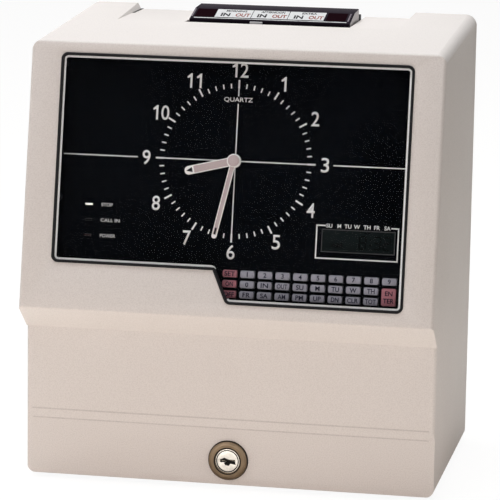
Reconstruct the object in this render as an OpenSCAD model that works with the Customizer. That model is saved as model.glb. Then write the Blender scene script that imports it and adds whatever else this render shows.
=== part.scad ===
// Electronic time clock with an analogue dial, a locked swing-up cover and a card printer.
// Millimetres. X runs to the right, -Y is the front and +Z is up.
// The origin is on the table, at the middle of the object.

/* [Case] */
// Width across the sides of the cover
case_w = 242; // [238:1:256]
// Depth from the overhanging front edge to the back
case_d = 172; // [170:1:184]
// Gap between the table and the cover's bottom edge
cover_lift = 3; // [2:0.5:5]
// Height of the upright lower front
lower_h = 88.8; // [86:0.2:100]
// Height of the slanted band under the overhang
band_h = 15; // [13:0.5:18]
// How far the lower front stands behind the overhanging edge
band_setback = 19.2; // [17:0.2:20]
// Height of the leaning upper front
upper_h = 152.1; // [151:0.1:162]
// Angle that the upper front leans back
lean = 11.2; // [10:0.1:12]
// Rise of the top from its front edge to the back
top_rise = 8.1; // [7:0.1:9]
// Wall of the cover
wall = 3; // [2.6:0.1:3.2]
// Radius of the upright front edges
edge_r = 2.5; // [1.5:0.5:6]
// Radius of the top's side edges
top_edge_r = 7; // [4:0.5:7.5]
// Radius of the edge between the front and the top
brow_r = 2; // [1.5:0.5:6]
// Radius of the bottom corners, seen from the front
bottom_r = 5; // [2:0.5:6]
// Radius of the edges above and below the slanted band
band_r = 1.5; // [0.5:0.5:3]
// Height of the two shallow crease lines' middle above the cover's bottom edge
crease_h = 36.6; // [35:0.5:45]
// Height of the sloping strip between the two crease lines
crease_w = 5.4; // [3:0.2:7]
// Depth of the set-in below the crease lines
crease_d = 1.5; // [0.5:0.1:2]
// Width of the level recess at the rear of the top, over its sloping ends
recess_w = 174; // [168:1:178]
// Distance of that recess's middle to the right of the case's middle
recess_x = -3.6; // [-4:0.2:2]
// Run of the recess's sloping ends
recess_run = 2; // [1:0.5:4]
// Depth of that recess at the back
recess_d = 3.7; // [3.2:0.1:4.2]

/* [Window] */
// Margin between the window and each side of the cover
window_side = 18; // [17:0.5:19]
// Bottom of the window above the overhanging edge, along the front
window_v0 = 7.6; // [7:0.2:8.8]
// Top of the window above the overhanging edge, along the front
window_v1 = 148.3; // [147:0.1:149]
// Bottom of the window's left part, along the front
window_left_v = 26.8; // [26:0.2:36]
// How far the window's lower part starts to the right of the first key's middle
window_step_in = 0.2; // [0:0.1:1.4]
// How far the slanted step runs out to the left
window_step_run = 8.5; // [6:0.5:10]
// Radius of the window's corners
window_r = 4; // [2.5:0.5:5]
// Width of the black trim in the opening
trim_w = 1.6; // [1.2:0.1:2]
// How far the trim stands proud
trim_proud = 0.6; // [0.3:0.1:1]
// Thickness of the lens behind the wall
lens_t = 2.5; // [2:0.1:2.7]
// Width of the lens's rim behind the wall
lens_rim = 3.5; // [2.5:0.1:3.8]

/* [Dial] */
// Depth of the dial panel's face behind the front
dial_depth = 12; // [11.8:0.1:13]
// Thickness of the dial panel
panel_t = 2; // [1.6:0.1:2.4]
// Height of the dial's centre above the overhanging edge, along the front
dial_v = 90.1; // [88:0.1:92]
// Length of the minute hand
minute_hand_l = 46; // [40:0.5:48]
// Length of the hour hand
hour_hand_l = 29.6; // [24:0.2:34]
// Radius of the hands' bosses
hand_boss_r = 4; // [3.3:0.1:4.4]
// Thickness of the hands
hand_t = 0.8; // [0.6:0.1:0.8]
// Radius of the minute arbor
arbor_r = 1.5; // [1.2:0.1:1.6]
// Side of the square clock movement
movement_w = 56; // [50:1:58]
// Thickness of the clock movement
movement_t = 17; // [15:1:20]
// Width of the display's glass
lcd_w = 42.4; // [38:0.2:44]
// Height of the display's glass
lcd_h = 13; // [11:0.2:14]
// Distance from the window's right edge to the middle of the display
lcd_side = 29.4; // [28:0.1:31]
// Middle of the display above the overhanging edge, along the front
lcd_v = 47.2; // [46:0.1:48.5]

/* [Keypad] */
// Width of a key
key_w = 8.2; // [7.8:0.1:8.8]
// Height of a key
key_h = 4; // [3.8:0.05:4.4]
// Spacing of the keys across
key_pitch_u = 10.28; // [10.2:0.02:10.4]
// Spacing of the keys' rows
key_pitch_v = 5.9; // [5.8:0.05:6]
// Distance from the window's right edge to the middle of the last key
key_side = 9.88; // [9.48:0.02:10.48]
// Middle of the top row above the overhanging edge, along the front
key_v0 = 25.4; // [25:0.1:25.8]
// Travel of a key
key_travel = 0.8; // [0.5:0.1:1]
// Clearance round a key
key_gap = 0.2; // [0.15:0.05:0.25]

/* [Cover lock and hinge] */
// Radius of the lock's bezel
bezel_r = 11.4; // [11:0.1:12.5]
// Radius of the lock's plug
plug_r = 7.25; // [6.5:0.05:7.4]
// Height of the lock above the cover's bottom edge
lock_h = 14.6; // [14:0.2:18]
// Length of the lock's barrel behind the wall's face
barrel_l = 24; // [20:0.5:26]
// Reach of the lock's cam
cam_l = 24; // [22:0.5:25]
// Radius of the hinge pins
hinge_pin_r = 2; // [1.6:0.1:2.4]
// Height of the top of the back above the hinge
hinge_drop = 9; // [8.6:0.1:9.6]
// Distance from the cover's back edge to the hinge
hinge_back = 6; // [5.6:0.1:7]

/* [Card printer] */
// Width of the card slot
card_slot_w = 92; // [88:1:96]
// Thickness of the card slot
card_slot_t = 5; // [4.8:0.1:5.4]
// Width of the card hood
hood_w = 98; // [98:1:102]
// Distance of the hood's middle to the right of the case's middle
hood_x = 2.4; // [0:0.2:4]
// Depth of the hood's sloping label face
hood_slope_d = 18; // [16:0.5:20]
// Height of the hood's rear edge above the recess
hood_rise = 6.9; // [6:0.1:8]
// Spacing of the print columns
column_pitch = 11.2; // [10.6:0.1:11.4]
// Column that the pointer rests at, counted from the left
column_at_rest = 3; // [1:1:6]
// Width of the column pointer
pointer_w = 7.6; // [5:0.1:9]
// Radius of the carriage's guide rods
rod_r = 3; // [2.5:0.1:3.2]
// Radius of the lead screw
screw_r = 4; // [3:0.1:4.4]
// Radius of the card feed roller
roller_r = 13.6; // [13.2:0.1:13.8]

/* [Chassis] */
// Thickness of the chassis and back sheet
sheet = 1.5; // [1.2:0.1:1.6]
// Radius of the rubber feet
foot_r = 7; // [5:0.5:9]
// Spacing of the wall holes across
wall_hole_x = 150; // [120:1:160]
// Spacing of the wall holes up the back
wall_hole_z = 140; // [120:1:150]
// Radius of the wall holes
wall_hole_r = 2.6; // [2:0.1:3.2]
// Radius of the cable entry
cable_r = 8; // [6:0.5:10]

/* [Hidden] */
$fn = 64;
// Room left where a piece drops into another of the same body
seat_gap = 0.1;
// Radial clearance of a shaft that turns or slides in a bore
run_gap = 0.06;
// Cuts run past the faces they break through by this much
past = 1;
// A feature runs into the solid that it stands on by this much
root = 0.3;

// Case outline, in depth and height
front_y = -case_d / 2;
back_y = case_d / 2;
cover_z = cover_lift;
band_z0 = cover_z + lower_h;
band_z1 = band_z0 + band_h;
brow_z = band_z1 + upper_h;
brow_y = front_y + upper_h * tan(lean);
lower_y = front_y + band_setback;
strip_y = lower_y + crease_d;
crease_z0 = cover_z + crease_h - crease_w / 2;
crease_z1 = cover_z + crease_h + crease_w / 2;
back_gap = 1;
lens_front = 1;
cover_back_y = back_y - sheet - back_gap;
top_back_z = brow_z + top_rise;
top_slope = atan2(top_rise, cover_back_y - brow_y);
recess_z = top_back_z - recess_d;
inner_x = case_w / 2 - wall;

// Chassis
side_gap = 8;
side_x = inner_x - side_gap;
side_in_x = side_x - sheet;
base_lift = 1.5;
base_z0 = cover_z + base_lift;
base_z1 = base_z0 + sheet;
chassis_front_gap = 4.3;
chassis_front_y = strip_y + wall + chassis_front_gap;
chassis_back_y = back_y - sheet;
window_half = case_w / 2 - window_side;
panel_back = dial_depth + panel_t;
panel_half_w = side_x;
panel_v0 = 2;
panel_v1 = 151;
hinge_y = cover_back_y - hinge_back;
hinge_z = top_back_z - hinge_drop;
hinge_ear_r = 4.8;
hinge_lug_r = 5.2;
back_plate_drop = 5;
back_plate_side = 2;
back_plate_top_z = hinge_z - back_plate_drop;
ear_foot = 14;
ear_drop = 7;
ear_back_drop = 8;
side_lift = 0.2;
side_top_in = 1;
tab_w = 9;
tab_proud = 0.2;
tab_h = 10;
tab_vs = [3, 60, 138];
screw_shank_r = 1.4;
screw_head_r = 2.8;
screw_head_h = 1.8;
small_shank_r = 1;
small_head_r = 2;
foot_side = 15;
foot_end = 14;
foot_taper = 0.8;
foot_x = side_x - foot_side;
foot_front_y = chassis_front_y + foot_end;
foot_back_y = chassis_back_y - foot_end;

// Cover lock
lock_z = cover_z + lock_h;
barrel_r = 9;
bezel_t = 2.6;
bezel_bevel = 1;
bezel_bevel_in = 1.6;
plug_set_in = 0.6;
key_slot_past = 1.5;
key_slot_h = 1.8;
key_slot_d = 6;
cam_boss = 2;
barrel_end_y = strip_y + barrel_l;
cam_gap = 0.3;
cam_t = 2.5;
cam_w = 9;
cam_y = barrel_end_y + cam_gap;
cam_neck_r = 4;
lock_nut_r = 13;
lock_nut_t = 4;
striker_gap = 1;
striker_t = 2;
striker_y = cam_y - striker_gap - striker_t;
striker_low_gap = 3;
striker_top_gap = 2.4;
striker_leg_gap = 3;
striker_z0 = lock_z + barrel_r + striker_low_gap;
striker_z1 = lock_z + cam_l + striker_top_gap;
striker_leg_x = cam_l + striker_leg_gap;
striker_leg_w = 6;

// Keypad
row_keys = [10, 9, 9];
key_u0 = window_half - key_side - 9 * key_pitch_u;
window_step_u = key_u0 + window_step_in;
key_proud = 2.4;
key_flange = 0.45;
key_flange_t = 1;
key_stem_l = 1.4;
key_stem_r = 1.5;
key_cap_r = 1;
key_board_gap = 0.4;
key_back = panel_back + key_gap;
key_board_depth = key_back + key_flange_t + key_stem_l + key_travel + key_board_gap;
board_t = 1.6;
key_board_back = key_board_depth + board_t;
board_boss_r = 1.8;
board_boss_clear = 0.8;
board_boss_v = [
    key_v0 + key_h / 2 + key_flange + board_boss_clear + board_boss_r,
    key_v0 - 2 * key_pitch_v - key_h / 2 - key_flange - board_boss_clear - board_boss_r
];
board_boss_left = 3.5;
board_boss_right = 3.2;
board_boss_u = [
    key_u0 - board_boss_left, key_u0 + 4.5 * key_pitch_u, key_u0 + 9 * key_pitch_u + board_boss_right
];

// Hands, as depths behind the front
hour_stand = 3.6;
minute_stand = 5.2;
hour_depth = dial_depth - hour_stand;
minute_depth = dial_depth - minute_stand;
hand_cap_t = 0.6;
hand_cap_in = 0.5;
minute_root_w = 3.2;
minute_tip_w = 3;
hour_root_w = 5;
hour_tip_w = 5;
tube_wall = 1;
post_wall = 0.9;
post_gap = 0.4;
tube_l = 4;
arbor_end = 2;
hour_tube_r = arbor_r + tube_wall;
post_r = hour_tube_r + post_wall;
post_depth = hour_depth + hand_t + post_gap;
tube_end_depth = panel_back + tube_l;
minute_angle = 192;
hour_angle = 256;

// Display
lcd_u = window_half - lcd_side;
lcd_set_in = 0.5;
lcd_body_t = 6;

// Indicator lamps
lamp_side = 18;
lamp_u = lamp_side - window_half;
lamp_v0 = 61.5;
lamp_pitch = 9;
lamp_w = 4.2;
lamp_h = 1;
lamp_proud = 0.8;
lamp_flange = 0.6;
lamp_body_t = 4;

// Card printer
hood_from_back = 56;
hood_top_d = 16;
hood_lip = 1.3;
hood_nose_h = 1.3;
hood_fall = 0.8;
hood_front_y = back_y - hood_from_back;
hood_back_y = hood_front_y + hood_slope_d + hood_top_d;
hood_wall = 2;
hood_lip_z = recess_z - hood_lip;
hood_slope_z = recess_z + hood_rise - hood_fall;
notch_side_gap = 1;
notch_front_gap = 8;
notch_front_y = hood_front_y - notch_front_gap;
chute_wall = 3;
chute_front_y = hood_back_y - hood_wall;
slot_y0 = chute_front_y + chute_wall;
slot_y1 = slot_y0 + card_slot_t;
chute_back_y = slot_y1 + chute_wall;
chute_side = 3;
chute_w = card_slot_w + 2 * chute_side;
chute_h = 158;
chute_z0 = hinge_z - chute_h;
chute_lip = 4;
chute_foot_low = 20;
chute_foot_high = 115;
chute_foot_h = 15;
chute_foot_w = 10;
pointer_side = 1.5;
column_x0 = hood_x - pointer_side - 2.5 * column_pitch;
pointer_x = column_x0 + (column_at_rest - 1) * column_pitch;
pointer_t = 1.6;
pointer_gap = 2.4;
pointer_rise = 1.1;
pointer_foot_up = 8;
pointer_foot_h = 14;
pointer_y = notch_front_y + pointer_gap;
pointer_top_z = recess_z + pointer_rise;
screw_from_hood = 15;
screw_drop = 41;
screw_axis_y = hood_front_y + screw_from_hood;
screw_axis_z = hinge_z - screw_drop;
rod_pitch = 36;
carriage_w = 26;
carriage_half_d = 9;
carriage_front_y = screw_axis_y - carriage_half_d;
carriage_back_y = screw_axis_y + carriage_half_d;
carriage_margin = 7;
nose_r = 5;
cassette_gap = 3;
cassette_top_gap = 4;
cassette_front_gap = 4;
cassette_z0 = screw_axis_z + rod_pitch / 2 + carriage_margin + cassette_gap;
cassette_z1 = hood_lip_z - cassette_top_gap;
cassette_front_y = hood_front_y + cassette_front_gap;
horn_w = 4;
horn_t = 3;
horn_gap = 4;
horn_x = card_slot_w / 2 + horn_gap;
ribbon_h = 12;
ribbon_t = 0.3;
nose_gap = 0.4;
ribbon_gap = 1.8;
ribbon_y = chute_front_y - ribbon_gap;
nose_end_y = ribbon_y - nose_gap;
feed_drop = 108;
feed_bite = 0.1;
feed_z = hinge_z - feed_drop;
feed_y = slot_y0 + feed_bite - roller_r;
feed_shaft_r = 3;
roller_l = 16;
roller_x = 30;
feed_motor_r = 17;
feed_motor_l = 36.5;
shift_motor_r = 13;
shift_motor_l = 24.5;
shaft_socket = 10;
socket_end = 0.5;

// Boards and supply
transformer_w = 62;
transformer_d = 50;
transformer_h = 52;
transformer_side = 10.5;
transformer_back = 24.5;
coil_in = 12;
coil_lift = 9;
transformer_x = transformer_side + transformer_w / 2 - side_in_x;
transformer_y = chassis_back_y - transformer_back - transformer_d / 2;
main_board_left = 21;
main_board_right = 4.5;
main_board_front = 30;
main_board_back = 12.5;
main_board_x0 = transformer_x + transformer_w / 2 + main_board_left;
main_board_x1 = side_in_x - main_board_right;
main_board_y0 = chassis_front_y + main_board_front;
main_board_y1 = chassis_back_y - main_board_back;
standoff_h = 8;
standoff_r = 3;
main_board_z = base_z1 + standoff_h;
standoff_inset = 5;

// Back
wall_hole_drop = 113;
cable_side = 36;
cable_rise = 24;
vent_drop = 162;
wall_hole_mid_z = hinge_z - wall_hole_drop;
cable_x = case_w / 2 - cable_side;
cable_z = base_z1 + cable_rise;
vent_l = 34;
vent_w = 4;
vent_count = 9;
vent_pitch = 10;
vent_z = hinge_z - vent_drop;

function key_name(row, col) = str("key_r", row + 1, "_c", col < 9 ? "0" : "", col + 1);
KEYS = [for (row = [0:2]) for (col = [0:row_keys[row] - 1]) [row, col]];

// Plane geometry

function unit(v) = v / norm(v);
function turned(v) = [-v[1], v[0]];
function cross2(a, b) = a[0] * b[1] - a[1] * b[0];
function meet(p, d, q, e) = p + d * cross2(q - p, e) / cross2(d, e);
function wrapped(points, i) = points[(i + len(points)) % len(points)];

// An outline that runs clockwise, moved inwards by a distance
function inset(points, by) = [for (i = [0:len(points) - 1])
    let(p = wrapped(points, i - 1), q = points[i], r = wrapped(points, i + 1))
    let(d = unit(q - p), e = unit(r - q))
    meet(p - turned(d) * by, d, q - turned(e) * by, e)];

// What lies between a corner and the arc that rounds it, carried past the corner.
// The arc stands out by a small part of its radius, so that it meets both sides at an angle.
module corner_piece(points, i, r) {
    stand_out = 0.01;
    p = points[i];
    a = unit(wrapped(points, i - 1) - p);
    b = unit(wrapped(points, i + 1) - p);
    half = acos(a * b) / 2;
    c = p + unit(a + b) * r / sin(half);
    a1 = p + a * r / tan(half);
    b1 = p + b * r / tan(half);
    beyond = unit(p - c) * r;
    difference() {
        polygon([c, a1, a1 + beyond, p + beyond, b1 + beyond, b1]);
        translate(c + beyond * stand_out) circle(r);
    }
}

// An outline with some outer corners rounded, each given as its number and radius
module rounded_outline(points, corners) {
    difference() {
        polygon(points);
        for (corner = corners) corner_piece(points, corner[0], corner[1]);
    }
}

module rounded_rect(w, h, r) {
    square([w - 2 * r, h], center = true);
    square([w, h - 2 * r], center = true);
    for (x = [-1, 1], y = [-1, 1]) translate([x * (w / 2 - r), y * (h / 2 - r)]) circle(r);
}

// Frames

// A side view, in depth and height, extruded across the width
module across(w) rotate([90, 0, 90]) translate([0, 0, -w / 2]) linear_extrude(w) children();
// The leaning front: X to the right, Y up the front, Z out of it
module on_front() translate([0, front_y, band_z1]) rotate([90 - lean, 0, 0]) children();
// A plate parallel to the front between two depths behind it
module front_plate(depth, t) on_front() translate([0, 0, -depth - t]) linear_extrude(t) children();
// A cylinder square to the front, from one depth to a deeper one
module front_rod(u, v, r, depth, depth1)
    on_front() translate([u, v, -depth1]) cylinder(r = r, h = depth1 - depth);
// A cylinder along X
module rod_x(x0, x1, y, z, r) translate([x0, y, z]) rotate([0, 90, 0]) cylinder(r = r, h = x1 - x0);
// A cylinder along Y
module rod_y(x, y0, y1, z, r) translate([x, y0, z]) rotate([-90, 0, 0]) cylinder(r = r, h = y1 - y0);
// A box from its lowest and highest corners
module block(a, b) translate(a) cube(b - a);
function front_point(v, depth) =
    [front_y + v * sin(lean) + depth * cos(lean), band_z1 + v * cos(lean) - depth * sin(lean)];

// Cover

cover_outline = [
    [strip_y, cover_z], [strip_y, crease_z0], [lower_y, crease_z1], [lower_y, band_z0],
    [front_y, band_z1], [brow_y, brow_z], [cover_back_y, top_back_z], [cover_back_y, cover_z]
];
front_dir = [sin(lean), cos(lean)];
front_in = [cos(lean), -sin(lean)];
band_dir = unit([-band_setback, band_h]);
band_in = -turned(band_dir);
top_dir = [cos(top_slope), sin(top_slope)];
top_in = -turned(top_dir);
hollow_lower = [strip_y + wall, cover_z];
hollow_band = [lower_y, band_z0] + band_in * wall;
hollow_front = [front_y, band_z1] + front_in * wall;
hollow_top = [brow_y, brow_z] + top_in * wall;
hollow_top_z = recess_z - wall;
hollow_knee = meet(hollow_top, top_dir, [0, hollow_top_z], [1, 0]);
hollow_back_y = cover_back_y + past;
hollow_outline = [
    [hollow_lower[0], cover_z - past],
    meet(hollow_lower, [0, 1], hollow_band, band_dir),
    meet(hollow_band, band_dir, hollow_front, front_dir),
    meet(hollow_front, front_dir, hollow_top, top_dir),
    hollow_knee,
    [hollow_back_y, hollow_top_z],
    [hollow_back_y, cover_z - past]
];
ear_outline = [
    hollow_knee,
    meet(hollow_top, top_dir, [hollow_back_y, 0], [0, 1]),
    [hollow_back_y, hollow_top_z - past],
    hollow_knee - [0, past]
];
ear_in_x = recess_w / 2 + abs(recess_x) + wall;
window_outline = [
    [-window_half, window_left_v], [-window_half, window_v1], [window_half, window_v1],
    [window_half, window_v0], [window_step_u, window_v0], [window_step_u - window_step_run, window_left_v]
];

// The window's opening, moved inwards by a distance
module window_shape(by) {
    corner_r = max(window_r - by, 0.6);
    rounded_outline(inset(window_outline, by), [for (i = [0:4]) [i, corner_r]]);
}

// The waste that rounds an edge, in width and in distance from the edge's side
module edge_waste(r) corner_piece([[0, 2 * r], [0, 0], [2 * r, 0]], 1, r);

module cover_body() {
    difference() {
        across(case_w) rounded_outline(cover_outline, [[4, band_r], [5, brow_r]]);
        for (side = [0, 1]) mirror([side, 0, 0]) {
            on_front() translate([-case_w / 2, -band_h, 0]) rotate([-90, 0, 0])
                linear_extrude(2 * upper_h) edge_waste(edge_r);
            translate([-case_w / 2, lower_y, 0]) linear_extrude(band_z0) edge_waste(edge_r);
            translate([-case_w / 2, brow_y, brow_z]) rotate([top_slope - 90, 0, 0])
                translate([0, 0, -case_d]) linear_extrude(3 * case_d) edge_waste(top_edge_r);
            translate([-case_w / 2, case_d, cover_z]) rotate([90, 0, 0])
                linear_extrude(2 * case_d) edge_waste(bottom_r);
        }
    }
}

// The level recess, carried up past the top
module recess_cut() {
    half = recess_w / 2;
    beyond = past * recess_run / recess_d;
    top = top_back_z + past;
    translate([recess_x, back_y, 0]) rotate([90, 0, 0]) linear_extrude(case_d) polygon([
        [recess_run - half, recess_z], [half - recess_run, recess_z],
        [half + beyond, top], [-half - beyond, top]
    ]);
}

module front_cover() color([0.90, 0.86, 0.82]) {
    notch_half = hood_w / 2 + notch_side_gap;
    difference() {
        union() {
            difference() {
                cover_body();
                across(2 * inner_x) polygon(hollow_outline);
                for (side = [-1, 1]) translate([side * (ear_in_x + inner_x) / 2, 0, 0])
                    across(inner_x - ear_in_x) polygon(ear_outline);
            }
            for (side = [0, 1]) mirror([side, 0, 0])
                rod_x(side_x + past, inner_x + wall / 2, hinge_y, hinge_z, hinge_lug_r);
        }
        recess_cut();
        translate([hood_x, 0, 0])
            block([-notch_half, notch_front_y, hollow_top_z - past], [notch_half, back_y, top_back_z]);
        on_front() translate([0, 0, -wall - past]) linear_extrude(wall + 2 * past) window_shape(0);
        rod_y(0, strip_y - past, strip_y + wall + past, lock_z, barrel_r + seat_gap);
        for (side = [0, 1]) mirror([side, 0, 0])
            rod_x(side_x, inner_x, hinge_y, hinge_z, hinge_pin_r + run_gap);
    }
}

module window_trim() color([0.05, 0.05, 0.05])
    on_front() translate([0, 0, -wall]) linear_extrude(wall + trim_proud) difference() {
        window_shape(seat_gap);
        window_shape(trim_w);
    }

module window_lens() color([0.35, 0.38, 0.40, 0.4]) {
    front_plate(wall, lens_t) window_shape(-lens_rim);
    front_plate(lens_front, wall - lens_front + root) window_shape(trim_w + seat_gap);
}

// Cover lock

module lock_housing() color([0.55, 0.45, 0.28]) {
    difference() {
        union() {
            rod_y(0, strip_y - bezel_t + bezel_bevel, strip_y, lock_z, bezel_r);
            translate([0, strip_y - bezel_t, lock_z]) rotate([-90, 0, 0])
                cylinder(r1 = bezel_r - bezel_bevel_in, r2 = bezel_r, h = bezel_bevel);
            rod_y(0, strip_y - root, barrel_end_y, lock_z, barrel_r);
        }
        rod_y(0, strip_y - bezel_t - past, barrel_end_y + past, lock_z, plug_r + run_gap);
    }
}

module lock_nut() color([0.75, 0.74, 0.70])
    translate([0, strip_y + wall, lock_z]) rotate([-90, 0, 0]) difference() {
        cylinder(r = lock_nut_r, h = lock_nut_t, $fn = 6);
        translate([0, 0, -past]) cylinder(r = barrel_r + seat_gap, h = lock_nut_t + 2 * past);
    }

module lock_plug() color([0.82, 0.80, 0.76]) {
    face_y = strip_y - bezel_t + plug_set_in;
    half_l = (plug_r + key_slot_past) / 2;
    half_h = key_slot_h / 2;
    difference() {
        union() {
            rod_y(0, face_y, barrel_end_y, lock_z, plug_r);
            rod_y(0, barrel_end_y - root, cam_y + cam_t, lock_z, cam_neck_r);
        }
        block([-half_l, face_y - past, lock_z - half_h], [half_l, face_y + key_slot_d, lock_z + half_h]);
    }
}

module lock_cam() color([0.72, 0.72, 0.70])
    translate([0, cam_y, lock_z]) rotate([-90, 0, 0]) linear_extrude(cam_t) difference() {
        union() {
            circle(cam_w / 2 + cam_boss);
            translate([0, -cam_w / 2]) square([cam_l - cam_w / 2, cam_w]);
            translate([cam_l - cam_w / 2, 0]) circle(cam_w / 2);
        }
        circle(cam_neck_r + seat_gap / 4);
    }

// Chassis

module side_shape() {
    ear_foot_y = hinge_y - ear_foot;
    ear_foot_z = hinge_z - ear_drop;
    front_low = front_point(panel_v0, panel_back + tab_proud);
    front_high = front_point(panel_v1 - side_top_in, panel_back + tab_proud);
    difference() {
        union() {
            polygon([
                [chassis_front_y, base_z0], [chassis_front_y, band_z0 + side_lift], front_low, front_high,
                [ear_foot_y, front_high[1]], [ear_foot_y, ear_foot_z], [hinge_y - hinge_ear_r, hinge_z],
                [hinge_y + hinge_ear_r, hinge_z], [chassis_back_y, hinge_z - ear_back_drop],
                [chassis_back_y, base_z0]
            ]);
            translate([hinge_y, hinge_z]) circle(hinge_ear_r);
        }
        translate([hinge_y, hinge_z]) circle(hinge_pin_r + seat_gap / 4);
        for (end = [-1, 1]) translate([screw_axis_y, screw_axis_z + end * rod_pitch / 2])
            circle(rod_r + seat_gap / 4);
        translate([screw_axis_y, screw_axis_z]) circle(screw_r + run_gap);
        translate([feed_y, feed_z]) circle(feed_shaft_r + run_gap);
    }
}

module chassis() color([0.62, 0.64, 0.66]) {
    board_posts = [
        for (x = [main_board_x0 + standoff_inset, main_board_x1 - standoff_inset])
            for (y = [main_board_y0 + standoff_inset, main_board_y1 - standoff_inset]) [x, y]
    ];
    difference() {
        union() {
            block([-side_x, chassis_front_y, base_z0], [side_x, chassis_back_y, base_z1]);
            for (post = board_posts) translate([post[0], post[1], base_z1 - root])
                cylinder(r = standoff_r, h = root + standoff_h);
        }
        for (post = board_posts) translate([post[0], post[1], base_z1])
            cylinder(r = screw_shank_r + seat_gap, h = standoff_h + past);
    }
    for (side = [-1, 1]) translate([side * (side_x - sheet / 2), 0, 0]) across(sheet) side_shape();
    for (side = [0, 1], v = tab_vs) mirror([side, 0, 0]) front_plate(panel_back, sheet) difference() {
        translate([side_in_x - tab_w, v]) square([tab_w + sheet / 2, tab_h]);
        translate([side_in_x - tab_w / 2, v + tab_h / 2]) circle(screw_shank_r + seat_gap);
    }
    for (side = [-1, 1]) translate([side * striker_leg_x, striker_y, 0])
        block([-striker_leg_w / 2, 0, base_z1 - sheet / 2], [striker_leg_w / 2, striker_t, striker_z1]);
    translate([0, striker_y, 0])
        block([-striker_leg_x, 0, striker_z0], [striker_leg_x, striker_t, striker_z1]);
}

module back_plate() color([0.66, 0.67, 0.68]) {
    half_w = case_w / 2 - back_plate_side;
    y0 = chassis_back_y;
    difference() {
        block([-half_w, y0, base_z0], [half_w, back_y, back_plate_top_z]);
        for (x = [-wall_hole_x / 2, wall_hole_x / 2], z = [-wall_hole_z / 2, wall_hole_z / 2])
            rod_y(x, y0 - past, back_y + past, wall_hole_mid_z + z, wall_hole_r);
        rod_y(cable_x, y0 - past, back_y + past, cable_z, cable_r);
        for (i = [0:vent_count - 1]) translate([(i - (vent_count - 1) / 2) * vent_pitch, 0, vent_z])
            block([-vent_w / 2, y0 - past, -vent_l / 2], [vent_w / 2, back_y + past, vent_l / 2]);
    }
}

module hinge_pins() color([0.78, 0.78, 0.80]) {
    head_t = 2;
    head_rim = 1;
    end_gap = 0.5;
    for (side = [0, 1]) mirror([side, 0, 0]) {
        rod_x(side_in_x - head_t, side_in_x, hinge_y, hinge_z, hinge_pin_r + head_rim);
        rod_x(side_in_x - root, inner_x - end_gap, hinge_y, hinge_z, hinge_pin_r);
    }
}

module rubber_feet() color([0.10, 0.10, 0.10])
    for (x = [-foot_x, foot_x], y = [foot_front_y, foot_back_y]) translate([x, y, 0])
        cylinder(r1 = foot_r - foot_taper, r2 = foot_r, h = base_z0);

// Dial

module key_sites() {
    for (key = KEYS) translate([key_u0 + key[1] * key_pitch_u, key_v0 - key[0] * key_pitch_v]) children();
}

tall_key_at = [key_u0 + 9 * key_pitch_u, key_v0 - 1.5 * key_pitch_v];
tall_key_h = key_h + key_pitch_v;

module dial_panel() color([0.06, 0.06, 0.07]) {
    front_plate(dial_depth, panel_t) difference() {
        translate([-panel_half_w, panel_v0]) square([2 * panel_half_w, panel_v1 - panel_v0]);
        translate([0, dial_v]) circle(post_r + seat_gap);
        translate([lcd_u, lcd_v]) square([lcd_w + 2 * key_gap, lcd_h + 2 * key_gap], center = true);
        for (i = [0:2]) translate([lamp_u, lamp_v0 - i * lamp_pitch])
            square([lamp_w + seat_gap, lamp_h + seat_gap], center = true);
        key_sites() square([key_w + 2 * key_gap, key_h + 2 * key_gap], center = true);
        translate(tall_key_at) square([key_w + 2 * key_gap, tall_key_h + 2 * key_gap], center = true);
        for (side = [-1, 1], v = tab_vs) translate([side * (side_in_x - tab_w / 2), v + tab_h / 2])
            circle(screw_shank_r + seat_gap);
    }
    difference() {
        front_plate(panel_back - root, root + key_board_depth - panel_back)
            for (u = board_boss_u, v = board_boss_v) translate([u, v]) circle(board_boss_r);
        for (u = board_boss_u, v = board_boss_v)
            front_rod(u, v, small_shank_r + seat_gap / 4, panel_back, key_board_depth + past);
    }
}

module clock_movement() color([0.20, 0.20, 0.22]) {
    corner_r = 4;
    back_wall = 3;
    difference() {
        union() {
            front_plate(panel_back, movement_t) translate([0, dial_v])
                rounded_rect(movement_w, movement_w, corner_r);
            front_rod(0, dial_v, post_r, post_depth, panel_back + root);
        }
        front_rod(0, dial_v, hour_tube_r + run_gap, post_depth - past, panel_back + movement_t - back_wall);
    }
}

// A hand that points up the front, turned about the dial's centre
module hand_blade(length, root_w, tip_w, angle) {
    translate([0, dial_v]) rotate(-angle) {
        tip_y = length - tip_w / 2;
        polygon([[-root_w / 2, 0], [-tip_w / 2, tip_y], [tip_w / 2, tip_y], [root_w / 2, 0]]);
        translate([0, tip_y]) circle(tip_w / 2);
        circle(hand_boss_r);
    }
}

module minute_hand() color([0.85, 0.83, 0.80]) {
    front_plate(minute_depth, hand_t)
        hand_blade(minute_hand_l, minute_root_w, minute_tip_w, minute_angle);
    front_rod(0, dial_v, hand_boss_r - hand_cap_in, minute_depth - hand_cap_t, minute_depth + root);
    front_rod(0, dial_v, arbor_r, minute_depth + hand_t - root, tube_end_depth + arbor_end);
}

module hour_hand() color([0.85, 0.83, 0.80]) difference() {
    union() {
        front_plate(hour_depth, hand_t) hand_blade(hour_hand_l, hour_root_w, hour_tip_w, hour_angle);
        front_rod(0, dial_v, hour_tube_r, hour_depth + hand_t - root, tube_end_depth);
    }
    front_rod(0, dial_v, arbor_r + run_gap, hour_depth - past, tube_end_depth + past);
}

module lcd_module() color([0.30, 0.34, 0.32]) {
    bezel = 2.4;
    face_depth = dial_depth + lcd_set_in;
    front_plate(face_depth, panel_back - face_depth + root) translate([lcd_u, lcd_v])
        square([lcd_w, lcd_h], center = true);
    front_plate(panel_back, lcd_body_t) translate([lcd_u, lcd_v])
        square([lcd_w + 2 * bezel, lcd_h + 2 * bezel], center = true);
}

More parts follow.
